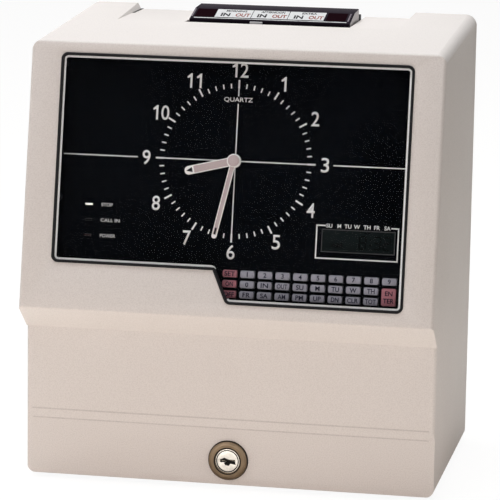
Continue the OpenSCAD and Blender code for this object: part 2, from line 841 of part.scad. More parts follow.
module indicator_lamps() color([0.80, 0.25, 0.20])
    for (i = [0:2]) {
        front_plate(dial_depth - lamp_proud, panel_t + lamp_proud + root)
            translate([lamp_u, lamp_v0 - i * lamp_pitch]) square([lamp_w, lamp_h], center = true);
        front_plate(panel_back, lamp_body_t) translate([lamp_u, lamp_v0 - i * lamp_pitch])
            square([lamp_w + 2 * lamp_flange, lamp_h + 2 * lamp_flange], center = true);
    }

// Keypad

module key_solid(h) {
    x = key_w / 2;
    y = h / 2;
    stem_depth = key_back + key_flange_t;
    front_plate(dial_depth - key_proud, key_proud + panel_t + key_gap + root)
        rounded_outline([[-x, -y], [-x, y], [x, y], [x, -y]], [for (i = [0:3]) [i, key_cap_r]]);
    front_plate(key_back, key_flange_t) square([key_w + 2 * key_flange, h + 2 * key_flange], center = true);
    front_rod(0, 0, key_stem_r, stem_depth - root, stem_depth + key_stem_l);
}

// A shift along the leaning front
module front_shift(u, v) translate([u, v * sin(lean), v * cos(lean)]) children();

module key(row, col) color(col == 0 ? [0.78, 0.55, 0.52] : [0.74, 0.74, 0.76])
    front_shift(key_u0 + col * key_pitch_u, key_v0 - row * key_pitch_v) key_solid(key_h);

module key_tall() color([0.78, 0.55, 0.52])
    front_shift(tall_key_at[0], tall_key_at[1]) key_solid(tall_key_h);

module keypad_board() color([0.12, 0.35, 0.20]) {
    margin = 2.2;
    u0 = board_boss_u[0] - margin;
    v0 = board_boss_v[1] - margin;
    front_plate(key_board_depth, board_t) difference() {
        translate([u0, v0]) square([board_boss_u[2] + margin - u0, board_boss_v[0] + margin - v0]);
        for (u = board_boss_u, v = board_boss_v) translate([u, v]) circle(small_shank_r + seat_gap / 4);
    }
}

// Card printer

module card_hood() color([0.16, 0.14, 0.16]) {
    outline = [
        [hood_front_y, hood_lip_z],
        [hood_front_y, recess_z + hood_nose_h],
        [hood_front_y + hood_slope_d, hood_slope_z],
        [hood_back_y, recess_z + hood_rise],
        [hood_back_y, hood_lip_z]
    ];
    hollow = inset(outline, hood_wall);
    hollow_z = hood_lip_z - past;
    translate([hood_x, 0, 0]) difference() {
        across(hood_w) polygon(outline);
        across(hood_w - 2 * hood_wall)
            polygon([[hollow[0][0], hollow_z], hollow[1], hollow[2], hollow[3], [hollow[4][0], hollow_z]]);
    }
}

module card_chute() color([0.22, 0.22, 0.24]) {
    half_w = chute_w / 2;
    slot_half = card_slot_w / 2;
    window_gap = 1;
    window_in = 4;
    print_in = 4;
    print_gap = 2;
    window_x = roller_l / 2 + window_gap;
    window_z = roller_r - window_in;
    print_half = slot_half - print_in;
    print_z = ribbon_h / 2 + print_gap;
    lip_z = hood_lip_z + chute_lip;
    strut_half = chute_foot_w / 2;
    strut_x = slot_half - chute_foot_w;
    translate([hood_x, 0, 0]) difference() {
        union() {
            block([-half_w, chute_front_y, chute_z0], [half_w, chute_back_y, hood_lip_z]);
            block([-half_w, slot_y1, chute_z0], [half_w, chute_back_y, lip_z]);
            for (x = [-strut_x, strut_x], up = [chute_foot_low, chute_foot_high])
                translate([x, 0, chute_z0 + up])
                    block([-strut_half, slot_y1, 0], [strut_half, chassis_back_y, chute_foot_h]);
        }
        block([-slot_half, slot_y0, chute_z0 + chute_wall], [slot_half, slot_y1, lip_z + past]);
        for (side = [-1, 1]) translate([side * roller_x, chute_front_y, feed_z])
            block([-window_x, -past, -window_z], [window_x, chute_wall + past, window_z]);
        translate([0, chute_front_y, screw_axis_z])
            block([-print_half, -past, -print_z], [print_half, chute_wall + past, print_z]);
    }
}

module print_carriage() color([0.28, 0.28, 0.30]) {
    half_h = rod_pitch / 2 + carriage_margin;
    translate([pointer_x, 0, screw_axis_z]) difference() {
        union() {
            block([-carriage_w / 2, carriage_front_y, -half_h], [carriage_w / 2, carriage_back_y, half_h]);
            rod_y(0, carriage_back_y - root, nose_end_y, 0, nose_r);
        }
        for (end = [-1, 1])
            rod_x(-carriage_w, carriage_w, screw_axis_y, end * rod_pitch / 2, rod_r + run_gap);
        rod_x(-carriage_w, carriage_w, screw_axis_y, 0, screw_r + run_gap);
    }
}

module column_pointer() color([0.80, 0.80, 0.78]) {
    half_w = pointer_w / 2;
    foot_z = screw_axis_z + pointer_foot_up;
    arm_back_y = pointer_y + pointer_t;
    translate([pointer_x, 0, 0]) {
        block([-half_w, pointer_y, foot_z], [half_w, arm_back_y, pointer_top_z]);
        block([-half_w, arm_back_y - root, foot_z], [half_w, carriage_front_y, foot_z + pointer_foot_h]);
    }
}

module ribbon_cassette() color([0.10, 0.10, 0.12]) translate([hood_x, 0, 0]) {
    half_w = horn_x + horn_w;
    horn_z = screw_axis_z - ribbon_h / 2;
    block([-half_w, cassette_front_y, cassette_z0], [half_w, chute_front_y, cassette_z1]);
    for (side = [0, 1]) mirror([side, 0, 0])
        block([horn_x, ribbon_y - horn_t, horn_z], [half_w, chute_front_y, cassette_z0 + root]);
    block([-horn_x - root, ribbon_y, horn_z], [horn_x + root, ribbon_y + ribbon_t, horn_z + ribbon_h]);
}

module guide_rods() color([0.80, 0.80, 0.82])
    for (end = [-1, 1]) rod_x(-side_x, side_x, screw_axis_y, screw_axis_z + end * rod_pitch / 2, rod_r);

module lead_screw() color([0.75, 0.74, 0.70])
    rod_x(-side_in_x + shift_motor_l - shaft_socket, side_x, screw_axis_y, screw_axis_z, screw_r);

module shift_motor() color([0.45, 0.46, 0.48]) difference() {
    rod_x(-side_in_x, -side_in_x + shift_motor_l, screw_axis_y, screw_axis_z, shift_motor_r);
    rod_x(-side_in_x + shift_motor_l - shaft_socket - socket_end, 0, screw_axis_y, screw_axis_z,
          screw_r + run_gap);
}

module feed_roller() color([0.20, 0.20, 0.20]) {
    rod_x(-side_x, side_in_x - feed_motor_l + shaft_socket, feed_y, feed_z, feed_shaft_r);
    for (side = [-1, 1]) translate([hood_x + side * roller_x, 0, 0])
        rod_x(-roller_l / 2, roller_l / 2, feed_y, feed_z, roller_r);
}

module feed_motor() color([0.45, 0.46, 0.48]) difference() {
    rod_x(side_in_x - feed_motor_l, side_in_x, feed_y, feed_z, feed_motor_r);
    rod_x(0, side_in_x - feed_motor_l + shaft_socket + socket_end, feed_y, feed_z, feed_shaft_r + run_gap);
}

// Boards and supply

module main_board() color([0.10, 0.32, 0.18]) difference() {
    z = main_board_z;
    block([main_board_x0, main_board_y0, z], [main_board_x1, main_board_y1, z + board_t]);
    for (x = [main_board_x0 + standoff_inset, main_board_x1 - standoff_inset],
         y = [main_board_y0 + standoff_inset, main_board_y1 - standoff_inset])
        translate([x, y, z - past]) cylinder(r = screw_shank_r + seat_gap, h = board_t + 2 * past);
}

module transformer() color([0.36, 0.30, 0.24]) {
    core_w = transformer_w / 2;
    core_d = transformer_d / 4;
    coil_w = core_w - coil_in;
    coil_d = transformer_d / 2;
    translate([transformer_x, transformer_y, base_z1]) {
        block([-core_w, -core_d, 0], [core_w, core_d, transformer_h]);
        block([-coil_w, -coil_d, coil_lift], [coil_w, coil_d, transformer_h - coil_lift]);
    }
}

module fixing_screws() color([0.80, 0.80, 0.82]) {
    panel_screw_l = 5;
    board_screw_gap = 0.6;
    for (side = [-1, 1], v = tab_vs) {
        u = side * (side_in_x - tab_w / 2);
        front_rod(u, v + tab_h / 2, screw_head_r, dial_depth - screw_head_h, dial_depth);
        front_rod(u, v + tab_h / 2, screw_shank_r, dial_depth - root, panel_back + panel_screw_l);
    }
    for (u = board_boss_u, v = board_boss_v) {
        front_rod(u, v, small_head_r, key_board_back, key_board_back + screw_head_h);
        front_rod(u, v, small_shank_r, panel_back + board_screw_gap, key_board_back + root);
    }
    for (x = [main_board_x0 + standoff_inset, main_board_x1 - standoff_inset],
         y = [main_board_y0 + standoff_inset, main_board_y1 - standoff_inset]) translate([x, y, 0]) {
        translate([0, 0, main_board_z + board_t]) cylinder(r = screw_head_r, h = screw_head_h);
        translate([0, 0, base_z1]) cylinder(r = screw_shank_r, h = standoff_h + board_t + root);
    }
}

front_cover();
window_lens();
window_trim();
lock_housing();
lock_nut();
lock_plug();
lock_cam();
chassis();
back_plate();
hinge_pins();
rubber_feet();
dial_panel();
clock_movement();
minute_hand();
hour_hand();
keypad_board();
main_board();
lcd_module();
indicator_lamps();
card_hood();
card_chute();
print_carriage();
column_pointer();
ribbon_cassette();
guide_rods();
lead_screw();
shift_motor();
feed_roller();
feed_motor();
transformer();
fixing_screws();
key_tall();
for (k = KEYS) key(k[0], k[1]);
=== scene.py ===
"""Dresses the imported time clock: cover, window, dial, keypad, lock, card hood and the works inside."""
import math

import bpy
from mathutils import Matrix, Vector


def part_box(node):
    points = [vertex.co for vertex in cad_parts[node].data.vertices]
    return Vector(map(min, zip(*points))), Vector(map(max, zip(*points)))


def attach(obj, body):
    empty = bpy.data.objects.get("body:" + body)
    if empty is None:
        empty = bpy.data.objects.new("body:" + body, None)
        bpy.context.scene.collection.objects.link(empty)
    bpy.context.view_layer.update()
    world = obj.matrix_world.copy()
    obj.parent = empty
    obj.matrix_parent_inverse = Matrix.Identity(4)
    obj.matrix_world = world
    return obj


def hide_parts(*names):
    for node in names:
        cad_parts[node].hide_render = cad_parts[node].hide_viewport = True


# Sizes are written in millimetres and built in metres
MM = 0.001
# How close corners lie, in metres, when they are welded
WELD = 0.000002
COPY_WELD = 0.000004
LEAN = math.radians(11.2)
FRONT_FOOT = (0, -86 * MM, 106.8 * MM)
# Places on the leaning front: right, up the front, out of it
FRONT = Matrix.Translation(FRONT_FOOT) @ Matrix.Rotation(math.pi / 2 - LEAN, 4, "X")
LABEL_SLOPE = math.atan2(4.8, 18)
LABEL_FOOT = (0, 30 * MM, 264.6 * MM)
# Places on the hood's label face: right, up the slope, out of it
LABEL = Matrix.Translation(LABEL_FOOT) @ Matrix.Rotation(LABEL_SLOPE, 4, "X")
# Height of the dial's middle up the front, and depth of its face behind the front
DIAL_V = 90.1
DIAL_DEPTH = 12.0
LOCK_Z = 17.6
LOCK_FACE_Y = -65.3

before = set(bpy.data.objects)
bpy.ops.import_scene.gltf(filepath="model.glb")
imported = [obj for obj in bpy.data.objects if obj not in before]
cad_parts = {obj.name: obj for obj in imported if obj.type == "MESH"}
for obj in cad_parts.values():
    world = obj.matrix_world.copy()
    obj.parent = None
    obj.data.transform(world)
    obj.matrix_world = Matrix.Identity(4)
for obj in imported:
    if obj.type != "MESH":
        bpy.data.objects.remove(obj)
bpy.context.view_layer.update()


def span(node):
    low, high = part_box(node)
    return [c / MM for c in low], [c / MM for c in high]


def middle_of(node):
    low, high = span(node)
    return [(a + b) / 2 for a, b in zip(low, high)]


HOOD_X = middle_of("card_hood")[0]


# Selecting and settling

def deselect():
    bpy.ops.object.select_all(action="DESELECT")


def choose(*pieces):
    deselect()
    for piece in pieces:
        piece.select_set(True)
    bpy.context.view_layer.objects.active = pieces[0]


def settle(piece, place=None):
    matrix = piece.matrix_basis.copy()
    if place is not None:
        matrix = place @ matrix
    piece.matrix_world = Matrix.Identity(4)
    piece.data.transform(matrix)
    piece.data.update()


def add_object(name, data):
    piece = bpy.data.objects.new(name, data)
    bpy.context.scene.collection.objects.link(piece)
    choose(piece)
    return piece


def edit_all():
    bpy.ops.object.mode_set(mode="EDIT")
    bpy.ops.mesh.select_all(action="SELECT")


def face_outward():
    bpy.ops.mesh.select_all(action="SELECT")
    bpy.ops.mesh.normals_make_consistent(inside=False)
    bpy.ops.object.mode_set(mode="OBJECT")


def thicken(thick):
    bpy.ops.mesh.select_all(action="SELECT")
    bpy.ops.mesh.extrude_region_move(TRANSFORM_OT_translate={"value": (0, 0, thick * MM)})
    face_outward()


def smooth(piece, angle=32):
    choose(piece)
    bpy.ops.object.shade_smooth_by_angle(angle=math.radians(angle))


def soften(piece, width, segments=2, angle=30):
    choose(piece)
    modifier = piece.modifiers.new("soft edges", "BEVEL")
    modifier.width = width * MM
    modifier.segments = segments
    modifier.limit_method = "ANGLE"
    modifier.angle_limit = math.radians(angle)
    bpy.ops.object.modifier_apply(modifier=modifier.name)
    smooth(piece)


def join(pieces, name):
    choose(*pieces)
    if len(pieces) > 1:
        bpy.ops.object.join()
    piece = bpy.context.view_layer.objects.active
    piece.name = name
    return piece


def dress(piece, finish, body, slot, *nodes):
    piece.data.materials.clear()
    piece.data.materials.append(finish)
    carry(piece, body, slot, *nodes)


def carry(piece, body, slot, *nodes):
    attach(piece, body)
    if nodes:
        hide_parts(*nodes)


def recolour(node, finish):
    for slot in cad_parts[node].material_slots:
        slot.material = finish


# Making pieces

def block(name, low, high, round_by=0.4, segments=2):
    deselect()
    middle = [(a + b) / 2 * MM for a, b in zip(low, high)]
    bpy.ops.mesh.primitive_cube_add(size=1, location=middle)
    piece = bpy.context.object
    piece.name = name
    piece.scale = [(b - a) * MM for a, b in zip(low, high)]
    settle(piece)
    soften(piece, round_by, segments)
    return piece


def turned(name, radius, length, place, round_by=0.4, sides=48):
    deselect()
    bpy.ops.mesh.primitive_cylinder_add(vertices=sides, radius=radius * MM, depth=length * MM)
    piece = bpy.context.object
    piece.name = name
    settle(piece, place)
    soften(piece, round_by)
    return piece


def node_copy(node, name, round_by, segments=2, angle=30):
    piece = add_object(name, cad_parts[node].data.copy())
    edit_all()
    bpy.ops.mesh.remove_doubles(threshold=COPY_WELD)
    bpy.ops.mesh.dissolve_limited(angle_limit=math.radians(0.6))
    bpy.ops.object.mode_set(mode="OBJECT")
    soften(piece, round_by, segments, angle)
    return piece


def dressed_copy(node, name, finish, body, slot, round_by, segments=2, angle=30):
    piece = node_copy(node, name, round_by, segments, angle)
    dress(piece, finish, body, slot, node)
    return piece


def words(text, height, place, thick=0.03, width=None, bold=0.0):
    deselect()
    bpy.ops.object.text_add()
    piece = bpy.context.object
    piece.data.body = text
    piece.data.align_x = "CENTER"
    piece.data.align_y = "CENTER"
    size = 0.01
    piece.data.size = size
    piece.data.resolution_u = 5
    piece.data.offset = bold * size
    bpy.ops.object.convert(target="MESH")
    piece = bpy.context.object
    corners = [vertex.co for vertex in piece.data.vertices]
    low = Vector([min(c[i] for c in corners) for i in range(3)])
    high = Vector([max(c[i] for c in corners) for i in range(3)])
    grow_y = height * MM / (high.y - low.y)
    grow_x = grow_y if width is None else width * MM / (high.x - low.x)
    middle = (low + high) / 2
    piece.data.transform(Matrix.Diagonal((grow_x, grow_y, 1, 1)) @ Matrix.Translation(-middle))
    choose(piece)
    edit_all()
    bpy.ops.mesh.remove_doubles(threshold=WELD)
    thicken(thick)
    settle(piece, place)
    return piece


def stripe(low, high, place, thick=0.05):
    deselect()
    middle = [(a + b) / 2 * MM for a, b in zip(low, high)]
    bpy.ops.mesh.primitive_plane_add(size=1, location=(middle[0], middle[1], 0))
    piece = bpy.context.object
    piece.scale = ((high[0] - low[0]) * MM, (high[1] - low[1]) * MM, 1)
    settle(piece)
    bpy.ops.object.mode_set(mode="EDIT")
    thicken(thick)
    settle(piece, place)
    return piece


def flat_shape(name, points, thick, place):
    curve = bpy.data.curves.new(name, "CURVE")
    curve.dimensions = "2D"
    curve.fill_mode = "BOTH"
    spline = curve.splines.new("POLY")
    spline.points.add(len(points) - 1)
    for point, (x, y) in zip(spline.points, points):
        point.co = (x * MM, y * MM, 0, 1)
    spline.use_cyclic_u = True
    curve.extrude = thick * MM / 2
    add_object(name, curve)
    bpy.ops.object.convert(target="MESH")
    piece = bpy.context.object
    edit_all()
    bpy.ops.mesh.remove_doubles(threshold=WELD)
    face_outward()
    settle(piece, place)
    return piece


def ring(name, outer, inner, thick, place, round_by=0.1):
    deselect()
    bpy.ops.mesh.primitive_circle_add(vertices=64, radius=outer * MM, fill_type="NGON")
    piece = bpy.context.object
    piece.name = name
    edit_all()
    bpy.ops.mesh.inset(thickness=(outer - inner) * MM, depth=0)
    bpy.ops.mesh.delete(type="FACE")
    thicken(thick)
    settle(piece, place)
    soften(piece, round_by)
    return piece


def on_front(u, v, depth):
    return FRONT @ Matrix.Translation((u * MM, v * MM, -depth * MM))


def about_dial(angle, depth):
    return on_front(0, DIAL_V, depth) @ Matrix.Rotation(-math.radians(angle), 4, "Z")


def on_label(x, w, above=0.0):
    return LABEL @ Matrix.Translation(((HOOD_X + x) * MM, w * MM, above * MM))


def along_x(x, y, z):
    return Matrix.Translation((x * MM, y * MM, z * MM)) @ Matrix.Rotation(math.pi / 2, 4, "Y")


def along_y(x, y, z):
    return Matrix.Translation((x * MM, y * MM, z * MM)) @ Matrix.Rotation(math.pi / 2, 4, "X")


def along_z(x, y, z):
    return Matrix.Translation((x * MM, y * MM, z * MM))


# Finishes

def start_finish(name):
    finish = bpy.data.materials.new(name)
    finish.use_nodes = True
    nodes = finish.node_tree.nodes
    return finish, nodes, finish.node_tree.links, nodes["Principled BSDF"]


def shade(colour, by):
    return tuple(min(1.0, c * by) for c in colour) + (1.0,)


def grain(nodes, links, scale, detail=3.0, stretch=None):
    place = nodes.new("ShaderNodeTexCoord")
    noise = nodes.new("ShaderNodeTexNoise")
    noise.inputs["Scale"].default_value = scale
    noise.inputs["Detail"].default_value = detail
    source = place.outputs["Object"]
    if stretch is not None:
        mapping = nodes.new("ShaderNodeMapping")
        mapping.inputs["Scale"].default_value = stretch
        links.new(source, mapping.inputs["Vector"])
        source = mapping.outputs["Vector"]
    links.new(source, noise.inputs["Vector"])
    return noise.outputs["Fac"]


def ramp(nodes, links, value, low, high, start=0.35, end=0.65):
    ramp_node = nodes.new("ShaderNodeValToRGB")
    ramp_node.color_ramp.elements[0].position = start
    ramp_node.color_ramp.elements[0].color = low
    ramp_node.color_ramp.elements[1].position = end
    ramp_node.color_ramp.elements[1].color = high
    links.new(value, ramp_node.inputs["Fac"])
    return ramp_node.outputs["Color"]


def spread(nodes, links, value, low, high):
    spread_node = nodes.new("ShaderNodeMapRange")
    spread_node.inputs["From Min"].default_value = 0.3
    spread_node.inputs["From Max"].default_value = 0.7
    spread_node.inputs["To Min"].default_value = low
    spread_node.inputs["To Max"].default_value = high
    links.new(value, spread_node.inputs["Value"])
    return spread_node.outputs["Result"]


def relief(nodes, links, shader, value, strength, distance):
    bump = nodes.new("ShaderNodeBump")
    bump.inputs["Strength"].default_value = strength
    bump.inputs["Distance"].default_value = distance * MM
    links.new(value, bump.inputs["Height"])
    links.new(bump.outputs["Normal"], shader.inputs["Normal"])


def moulded(name, colour, rough, texture=900, depth=0.05, mottle=0.04, shine=0.4):
    finish, nodes, links, shader = start_finish(name)
    cloud = grain(nodes, links, 28)
    fine = grain(nodes, links, texture, 2.0)
    tone = ramp(nodes, links, cloud, shade(colour, 1 - mottle), shade(colour, 1 + mottle / 2))
    links.new(tone, shader.inputs["Base Color"])
    links.new(spread(nodes, links, fine, rough - 0.06, rough + 0.06), shader.inputs["Roughness"])
    relief(nodes, links, shader, fine, 0.25, depth)
    shader.inputs["Specular IOR Level"].default_value = shine
    return finish


def metal(name, colour, rough, stretch=(40, 900, 900)):
    finish, nodes, links, shader = start_finish(name)
    lines = grain(nodes, links, 1.0, 4.0, stretch)
    tone = ramp(nodes, links, lines, shade(colour, 0.88), shade(colour, 1.06))
    links.new(tone, shader.inputs["Base Color"])
    shader.inputs["Metallic"].default_value = 1.0
    links.new(spread(nodes, links, lines, rough - 0.05, rough + 0.08), shader.inputs["Roughness"])
    relief(nodes, links, shader, lines, 0.12, 0.03)
    return finish


def ink(name, colour, rough=0.55, shine=0.1):
    finish, nodes, links, shader = start_finish(name)
    wear = grain(nodes, links, 1800, 2.0)
    tone = ramp(nodes, links, wear, shade(colour, 0.86), shade(colour, 1.0))
    links.new(tone, shader.inputs["Base Color"])
    shader.inputs["Roughness"].default_value = rough
    shader.inputs["Specular IOR Level"].default_value = shine
    return finish


def window_sheet(name):
    finish, nodes, links, shader = start_finish(name)
    haze = grain(nodes, links, 14)
    shader.inputs["Base Color"].default_value = (0.02, 0.025, 0.03, 1)
    links.new(spread(nodes, links, haze, 0.08, 0.16), shader.inputs["Roughness"])
    shader.inputs["Specular IOR Level"].default_value = 0.3
    shader.inputs["Alpha"].default_value = 0.025
    return finish


def cover_plastic():
    finish, nodes, links, shader = start_finish("cover plastic")
    cloud = grain(nodes, links, 9, 4.0)
    speck = grain(nodes, links, 1500, 2.0)
    fine = grain(nodes, links, 1300, 2.0)
    base = ramp(nodes, links, cloud, (0.745, 0.685, 0.645, 1), (0.765, 0.705, 0.665, 1))
    dust = ramp(nodes, links, speck, (0.9, 0.89, 0.885, 1), (1, 1, 1, 1), 0.32, 0.6)
    mix = nodes.new("ShaderNodeMix")
    mix.data_type = "RGBA"
    mix.blend_type = "MULTIPLY"
    mix.inputs["Factor"].default_value = 1.0
    links.new(base, mix.inputs["A"])
    links.new(dust, mix.inputs["B"])
    links.new(mix.outputs["Result"], shader.inputs["Base Color"])
    links.new(spread(nodes, links, speck, 0.46, 0.6), shader.inputs["Roughness"])
    relief(nodes, links, shader, fine, 0.2, 0.06)
    shader.inputs["Specular IOR Level"].default_value = 0.35
    return finish


def glow(name, colour, strength):
    finish, nodes, links, shader = start_finish(name)
    patch = grain(nodes, links, 700, 1.0)
    tone = ramp(nodes, links, patch, shade(colour, 0.9), shade(colour, 1.0))
    links.new(tone, shader.inputs["Base Color"])
    shader.inputs["Roughness"].default_value = 0.3
    shader.inputs["Emission Color"].default_value = colour + (1.0,)
    shader.inputs["Emission Strength"].default_value = strength
    return finish


def laminated(name, colour):
    finish, nodes, links, shader = start_finish(name)
    sheets = grain(nodes, links, 1.0, 1.0, (6, 2200, 6))
    tone = ramp(nodes, links, sheets, shade(colour, 0.55), shade(colour, 1.1))
    links.new(tone, shader.inputs["Base Color"])
    shader.inputs["Roughness"].default_value = 0.45
    relief(nodes, links, shader, sheets, 0.4, 0.15)
    return finish


COVER = cover_plastic()
CREASE = ink("crease shade", (0.665, 0.605, 0.57))
TRIM = moulded("black trim", (0.008, 0.008, 0.009), 0.4, 1500, 0.02, shine=0.12)
LENS = window_sheet("window sheet")
PANEL = moulded("dial panel black", (0.0006, 0.0012, 0.0024), 0.6, 1600, 0.03, 0.25, 0.005)
WHITE_PRINT = ink("white print", (0.95, 0.95, 0.94))
HAND = moulded("hand grey", (0.56, 0.455, 0.455), 0.5, 1800, 0.01, 0.05, 0.2)
HAND_EDGE = moulded("hand bright edge", (0.94, 0.92, 0.90), 0.35, 1800, 0.01, 0.02, 0.4)
HAND_INLAY = ink("hand dark inlay", (0.012, 0.012, 0.014))
GREY_KEY = moulded("grey key", (0.36, 0.355, 0.41), 0.5, 1700, 0.02, 0.08, 0.25)
PINK_KEY = moulded("pink key", (0.45, 0.17, 0.20), 0.5, 1700, 0.02, 0.1, 0.25)
KEY_INK = ink("key legend", (0.012, 0.012, 0.030))
DISPLAY = moulded("display glass", (0.0050, 0.0086, 0.0086), 0.4, 500, 0.005, 0.15, 0.02)
DISPLAY_INK = ink("display segments", (0.0006, 0.0008, 0.0008), 0.5, 0.01)
LAMP_ON = glow("lit lamp", (0.95, 0.93, 0.86), 0.6)
LAMP_OFF = moulded("dark lamp", (0.003, 0.003, 0.003), 0.3, 900, 0.01, shine=0.03)
LAMP_RED = moulded("red lamp", (0.016, 0.003, 0.004), 0.3, 900, 0.01, shine=0.03)
HOOD = moulded("smoked hood", (0.013, 0.009, 0.014), 0.6, 1200, 0.02, 0.12, 0.02)
# Light grey for the ends of the smoked hood: a painted highlight
HOOD_END_HIGHLIGHT = moulded("hood end painted highlight", (0.66, 0.63, 0.64), 0.45, 1200, 0.02, 0.12, 0.1)
LABEL_DARK = ink("label block", (0.012, 0.004, 0.006), 0.8, 0.0)
LABEL_GREY = ink("label ends", (0.20, 0.17, 0.19), 0.5, 0.05)
PAPER = ink("label paper", (0.72, 0.71, 0.70), 0.7)
LABEL_BLACK = ink("label black ink", (0.015, 0.014, 0.016), 0.6)
LABEL_RED = ink("label red ink", (0.30, 0.085, 0.06), 0.6)
POINTER = moulded("pointer grey", (0.45, 0.44, 0.44), 0.5, 1500, 0.02)
BRASS = metal("lock brass", (0.19, 0.138, 0.09), 0.34, (300, 300, 300))
PLUG = metal("lock plug metal", (0.80, 0.77, 0.71), 0.22, (500, 500, 500))
# Black for painted shade: the dark lines and sheets that stand in for the shade in gaps, grooves,
# recesses and holes
SHADOW_LINE = ink("painted shadow line", (0.006, 0.005, 0.004))
SHEET = metal("zinc sheet", (0.58, 0.59, 0.60), 0.42, (30, 30, 700))
BACK = moulded("grey enamel", (0.34, 0.34, 0.34), 0.45, 700, 0.08)
STEEL = metal("plated steel", (0.66, 0.66, 0.66), 0.3)
RUBBER = moulded("black rubber", (0.018, 0.018, 0.018), 0.75, 600, 0.1, 0.2)
DARK_PLASTIC = moulded("dark grey plastic", (0.045, 0.045, 0.05), 0.5, 900, 0.04, 0.1)
BOARD = moulded("green board", (0.020, 0.105, 0.045), 0.4, 300, 0.03, 0.15)
SOLDER = metal("tinned pads", (0.72, 0.72, 0.70), 0.35)
CHIP = moulded("chip black", (0.014, 0.014, 0.015), 0.55, 1200, 0.03)
CAPACITOR = moulded("capacitor sleeve", (0.03, 0.05, 0.16), 0.35, 900, 0.01)
SOCKET = moulded("white socket", (0.68, 0.66, 0.60), 0.5, 900, 0.02)
MOTOR = metal("motor can", (0.46, 0.46, 0.47), 0.36, (500, 60, 60))
CORE = laminated("core sheets", (0.16, 0.13, 0.11))
COIL = moulded("coil wrap", (0.42, 0.27, 0.06), 0.4, 200, 0.1, 0.12)
LEAD_BRASS = metal("lead screw brass", (0.60, 0.46, 0.22), 0.3)


# The cover and its window

def make_cover():
    dressed_copy("front_cover", "cover_shell", COVER, "cover", "cover", 0.6, 3, 28)
    # A dark strip on the recess floor at the foot of its left wall: painted shade
    foot_shade = stripe((-0.2, -26), (1.2, -0.8), along_z(-88.4, 86, 263.3), 0.1)
    foot_shade.name = "recess_foot_shade"
    dress(foot_shade, SHADOW_LINE, "cover", "cover")
    # Two thin darker stripes along the creases of the lower front: painted shade in the creases
    half_long, half_wide = 117.5, 0.4
    creases = []
    for y, z in ((-66.8, 42.5), (LOCK_FACE_Y, 36.7)):
        creases.append(stripe((-half_long, -half_wide), (half_long, half_wide), along_y(0, y, z), 0.03))
    dress(join(creases, "crease_lines"), CREASE, "cover", "cover")
    dressed_copy("window_trim", "window_frame", TRIM, "cover", "black_trim", 0.25)
    recolour("window_lens", LENS)


def rounded(points, radius, steps=5):
    path = []
    count = len(points)
    for i, (x, y) in enumerate(points):
        corner = Vector((x, y))
        before = (Vector(points[i - 1]) - corner).normalized()
        after = (Vector(points[(i + 1) % count]) - corner).normalized()
        half = before.angle(after) / 2
        reach = radius / math.tan(half)
        start = corner + before * reach
        end = corner + after * reach
        centre = corner + (before + after).normalized() * (radius / math.sin(half))
        from_angle = math.atan2(start.y - centre.y, start.x - centre.x)
        turn = math.atan2(end.y - centre.y, end.x - centre.x) - from_angle
        turn = (turn + math.pi) % (2 * math.pi) - math.pi
        for k in range(steps + 1):
            angle = from_angle + turn * k / steps
            path.append((centre.x + radius * math.cos(angle), centre.y + radius * math.sin(angle)))
    return path


# The window's edges on the front, and where its stepped lower edge turns
WINDOW_HALF_W = 103
WINDOW_LOW = 7.6
WINDOW_LEFT_LOW = 26.8
WINDOW_HIGH = 148.3
STEP_LOW_U = 1.9
STEP_HIGH_U = -7.4


# A white band just inside the window's edge, on the lens: a painted highlight along the trim's inner lip
def make_window_line():
    gap = 1.7
    side = WINDOW_HALF_W - gap
    low, high, left_low = WINDOW_LOW + gap, WINDOW_HIGH - gap, WINDOW_LEFT_LOW + gap
    corners = [(-side, left_low), (-side, high), (side, high), (side, low)]
    corners += [(STEP_LOW_U, low), (STEP_HIGH_U, left_low)]
    sheet = flat_shape("window_lip_highlight", rounded(corners, 2.4), 0.04, Matrix.Identity(4))
    choose(sheet)
    bpy.ops.object.mode_set(mode="EDIT")
    bpy.ops.mesh.select_all(action="DESELECT")
    bpy.ops.mesh.select_mode(type="FACE")
    bpy.ops.object.mode_set(mode="OBJECT")
    for face in sheet.data.polygons:
        face.select = face.normal.z < 0.5
    bpy.ops.object.mode_set(mode="EDIT")
    bpy.ops.mesh.delete(type="FACE")
    bpy.ops.mesh.select_all(action="SELECT")
    bpy.ops.mesh.dissolve_limited(angle_limit=math.radians(1))
    bpy.ops.mesh.select_all(action="SELECT")
    line_width = 1.15
    bpy.ops.mesh.inset(thickness=line_width * MM, depth=0)
    bpy.ops.mesh.delete(type="FACE")
    bpy.ops.object.mode_set(mode="OBJECT")
    # The slanted stretch of the line beside the keypad is left out
    for face in sheet.data.polygons:
        u, v = face.center.x / MM, face.center.y / MM
        face.select = -8 < u < 4 and low + 1.6 < v < left_low - 1.0
    bpy.ops.object.mode_set(mode="EDIT")
    bpy.ops.mesh.delete(type="FACE")
    thicken(0.05)
    settle(sheet, on_front(0, 0, 0.99))
    # The white print finish here carries the painted highlight of the lip
    dress(sheet, WHITE_PRINT, "cover", "lens")


# The dial

# The figure one, flagged, as shares of its height
FIGURE_ONE = (
    (0.02, -0.5), (0.02, 0.22), (-0.19, 0.17), (-0.19, 0.28), (0.07, 0.5), (0.16, 0.5), (0.16, -0.5),
)
NUMBER_H = 8.4
NUMBER_RING_R = 52.4
MARK_START_R = 42.0
# Half width and outer end of a mark on the dial
HOUR_MARK = (0.5, 46.8)
MINUTE_MARK = (0.36, 44.7)
# Height of the upper lamp up the front and the step down to the next
LAMP_V = 61.5
LAMP_STEP = 9
LAMP_WORDS = (("STOP", 6.6), ("CALL IN", 11.2), ("POWER", 9.0))
LAMP_WORDS_U = -77.6


